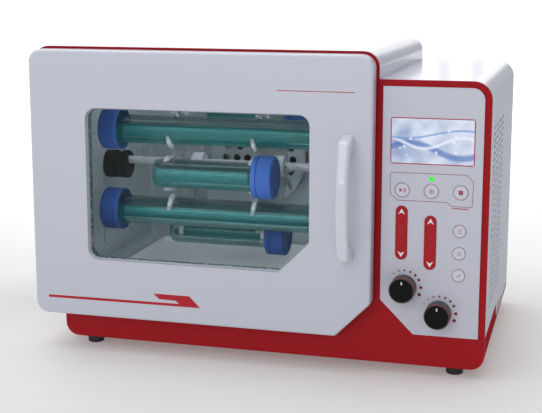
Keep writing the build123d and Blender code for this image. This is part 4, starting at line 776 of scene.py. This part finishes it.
def window_line(inset):
    x0, x1, z0, z1 = WINDOW
    x0, x1, z0, z1 = x0 + inset, x1 - inset, z0 + inset, z1 - inset
    cut = WINDOW_CHAMFER - inset * 0.586
    radius = WINDOW_CORNER - inset
    soft = CUT_SOFTNESS * WINDOW_CORNER - inset * CUT_SOFTNESS
    points = circle(x0 + radius, z0 + radius, radius, 8, pi, pi / 2)
    reach = soft * tan(radians(22.5))
    points += circle(x1 - cut - reach, z0 + soft, soft, 4, -pi / 2, pi / 4)
    points += circle(x1 - soft, z0 + cut + reach, soft, 4, -pi / 4, pi / 4)
    points += circle(x1 - radius, z1 - radius, radius, 8, 0.0, pi / 2)
    points += circle(x0 + radius, z1 - radius, radius, 8, pi / 2, pi / 2)
    return points


rows = []
for inset, depth in ((0.15, 0.5), (0.35, 0.3), (1.5, PANE_FACE - 0.1), (0.15, PANE_FACE - 0.1)):
    rows.append([bezel.verts.new(at(x, depth, z)) for x, z in window_line(inset)])
for a, b in zip(rows, rows[1:] + rows[:1]):
    for i in range(len(a)):
        j = (i + 1) % len(a)
        bezel.faces.new((a[i], a[j], b[j], b[i]))
finish_mesh("window_bezel", bezel, bezel_white, "door", 50)

# ---------------------------------------------------------------- room, light and camera
FLOOR_FRONT = -3.0
FLOOR_BACK = 2.2            # where the floor starts to curve up into the backdrop
FLOOR_CURVE = 1.2
FLOOR_TOP = 4.0
FLOOR_HALF = 5.0
floor = bmesh.new()
profile = [(FLOOR_FRONT, 0.0), (FLOOR_BACK, 0.0)]
profile += [(FLOOR_BACK + FLOOR_CURVE * sin(radians(a)),
             FLOOR_CURVE - FLOOR_CURVE * cos(radians(a))) for a in range(9, 91, 9)]
profile += [(FLOOR_BACK + FLOOR_CURVE, FLOOR_TOP)]
grid = [[floor.verts.new((x, y, z)) for y, z in profile] for x in (-FLOOR_HALF, FLOOR_HALF)]
for i in range(len(profile) - 1):
    floor.faces.new((grid[0][i], grid[1][i], grid[1][i + 1], grid[0][i + 1]))
mesh = bpy.data.meshes.new("studio_floor")
floor.to_mesh(mesh)
floor.free()
room = Shader("studio_floor")
across, depth, up = room.xyz()
fade = room.span(depth, -0.7, 1.5)
room.colour(room.mix(fade, (0.50, 0.495, 0.485), (0.90, 0.895, 0.885)))
glow = room.mix(room.span(depth, 0.2, 2.0), (0.32, 0.32, 0.315), (1.0, 1.0, 1.0))
# Painted shadow: the floor glows less at the oven's right front.
right_front_shadow = room.math("MULTIPLY", room.span(across, 0.1, 0.6), room.span(depth, 0.6, -0.4))
glow = room.mix(right_front_shadow, glow, (0.52, 0.52, 0.515))
# Painted shadow: the floor glows less near the oven and beside its left side.
shadow_distance = room.math("ADD", room.math("ABSOLUTE", room.math("ADD", across, 0.36)),
                   room.math("ABSOLUTE", room.math("SUBTRACT", depth, 0.02)))
glow = room.mix(room.span(shadow_distance, 0.0, 0.22, 0.9, 0.0), glow, (0.05, 0.05, 0.05))
bars = room.math("SINE", room.math("ADD", room.math("MULTIPLY", across, 47.6), 5.09))
bars = room.math("MULTIPLY", room.span(bars, 0.1, 0.8), room.span(up, 0.42, 0.5))
for edge, inside in ((-0.29, -0.26), (0.02, -0.01)):
    bars = room.math("MULTIPLY", bars, room.span(across, edge, inside))
glow = room.mix(room.math("MULTIPLY", bars, 0.5), glow, (0.1, 0.1, 0.11))
room.link(glow, room.main.inputs["Emission Color"])
room.set(Roughness=0.6, Emission_Strength=0.6)
mesh.materials.append(room.material)
mesh.shade_smooth()
studio = bpy.data.objects.new("studio_floor", mesh)
bpy.context.scene.collection.objects.link(studio)

# Grey card off to the right, which keeps the oven's side darker than its front. The camera
# doesn't see it, so that it hides the oven in no view.
card = bmesh.new()
path = [(1.3, -2.5), (1.3, 2.9), (0.42, 2.9)]
low, high = ([card.verts.new((x, y, z)) for x, y in path] for z in (0.25, 2.6))
for i in range(len(path) - 1):
    card.faces.new((low[i], low[i + 1], high[i + 1], high[i]))
mesh = bpy.data.meshes.new("side_card")
card.to_mesh(mesh)
card.free()
grey = Shader("card_grey")
grey.colour(grey.mix(grey.noise(3.0), (0.33, 0.33, 0.34), (0.38, 0.38, 0.39)))
grey.set(Roughness=0.9, Specular_IOR_Level=0.1)
mesh.materials.append(grey.material)
card = bpy.data.objects.new("side_card", mesh)
card.visible_camera = False
bpy.context.scene.collection.objects.link(card)


def lamp(name, place, target, size, power, colour=(1, 1, 1)):
    data = bpy.data.lights.new(name, "AREA")
    data.shape = "RECTANGLE"
    data.size, data.size_y = size
    data.energy = power
    data.color = colour
    made = bpy.data.objects.new(name, data)
    made.location = place
    made.rotation_euler = (Vector(target) - Vector(place)).to_track_quat("-Z", "Y").to_euler()
    bpy.context.scene.collection.objects.link(made)
    return made


lamp("top_light", (-0.7, 0.0, 2.3), (0, 0.05, 0.2), (2.4, 2.2), 35.0)
lamp("front_fill", (-0.35, -3.0, 1.5), (0, 0, 0.2), (2.8, 2.2), 31.0, (0.95, 0.965, 1.0))
lamp("wall_light", (0.6, 0.1, 1.25), (0.13, 0.0, 0.32), (0.5, 0.5), 1.7)
lamp("front_strip", (-0.22, -1.5, 0.30), (0, 0, 0.25), (0.26, 0.03), 0.25)
inner = lamp("chamber_front", at(200, 24, 200), at(200, 200, 190), (0.25, 0.17), 0.38,
             (0.95, 0.98, 1.0))
inner.visible_glossy = False
ceiling = lamp("chamber_ceiling", at(200, 172, 333), at(200, 172, 100), (0.28, 0.24), 0.45,
               (0.95, 0.98, 1.0))
ceiling.visible_glossy = False

world = bpy.data.worlds.new("studio")
bpy.context.scene.world = world
world.use_nodes = True
world.node_tree.nodes["Background"].inputs["Color"].default_value = (0.93, 0.95, 1.0, 1.0)
world.node_tree.nodes["Background"].inputs["Strength"].default_value = 0.32

camera_data = bpy.data.cameras.new("camera")
camera_data.sensor_fit = "HORIZONTAL"
camera_data.sensor_width = 36.0
camera_data.lens = 76.556
camera_data.shift_y = -0.0511
camera_data.clip_start = 0.05
camera = bpy.data.objects.new("camera", camera_data)
camera.location = at(622.207, -1195.905, 433.517)
forward = Vector((-0.264811, 0.948767, -0.172385))
camera.rotation_mode = "QUATERNION"
camera.rotation_quaternion = forward.to_track_quat("-Z", "Y")
bpy.context.scene.collection.objects.link(camera)
bpy.context.scene.camera = camera
bpy.context.scene.view_settings.view_transform = "Standard"
# The bottles and panes stack many clear walls
bpy.context.scene.cycles.transparent_max_bounces = 48
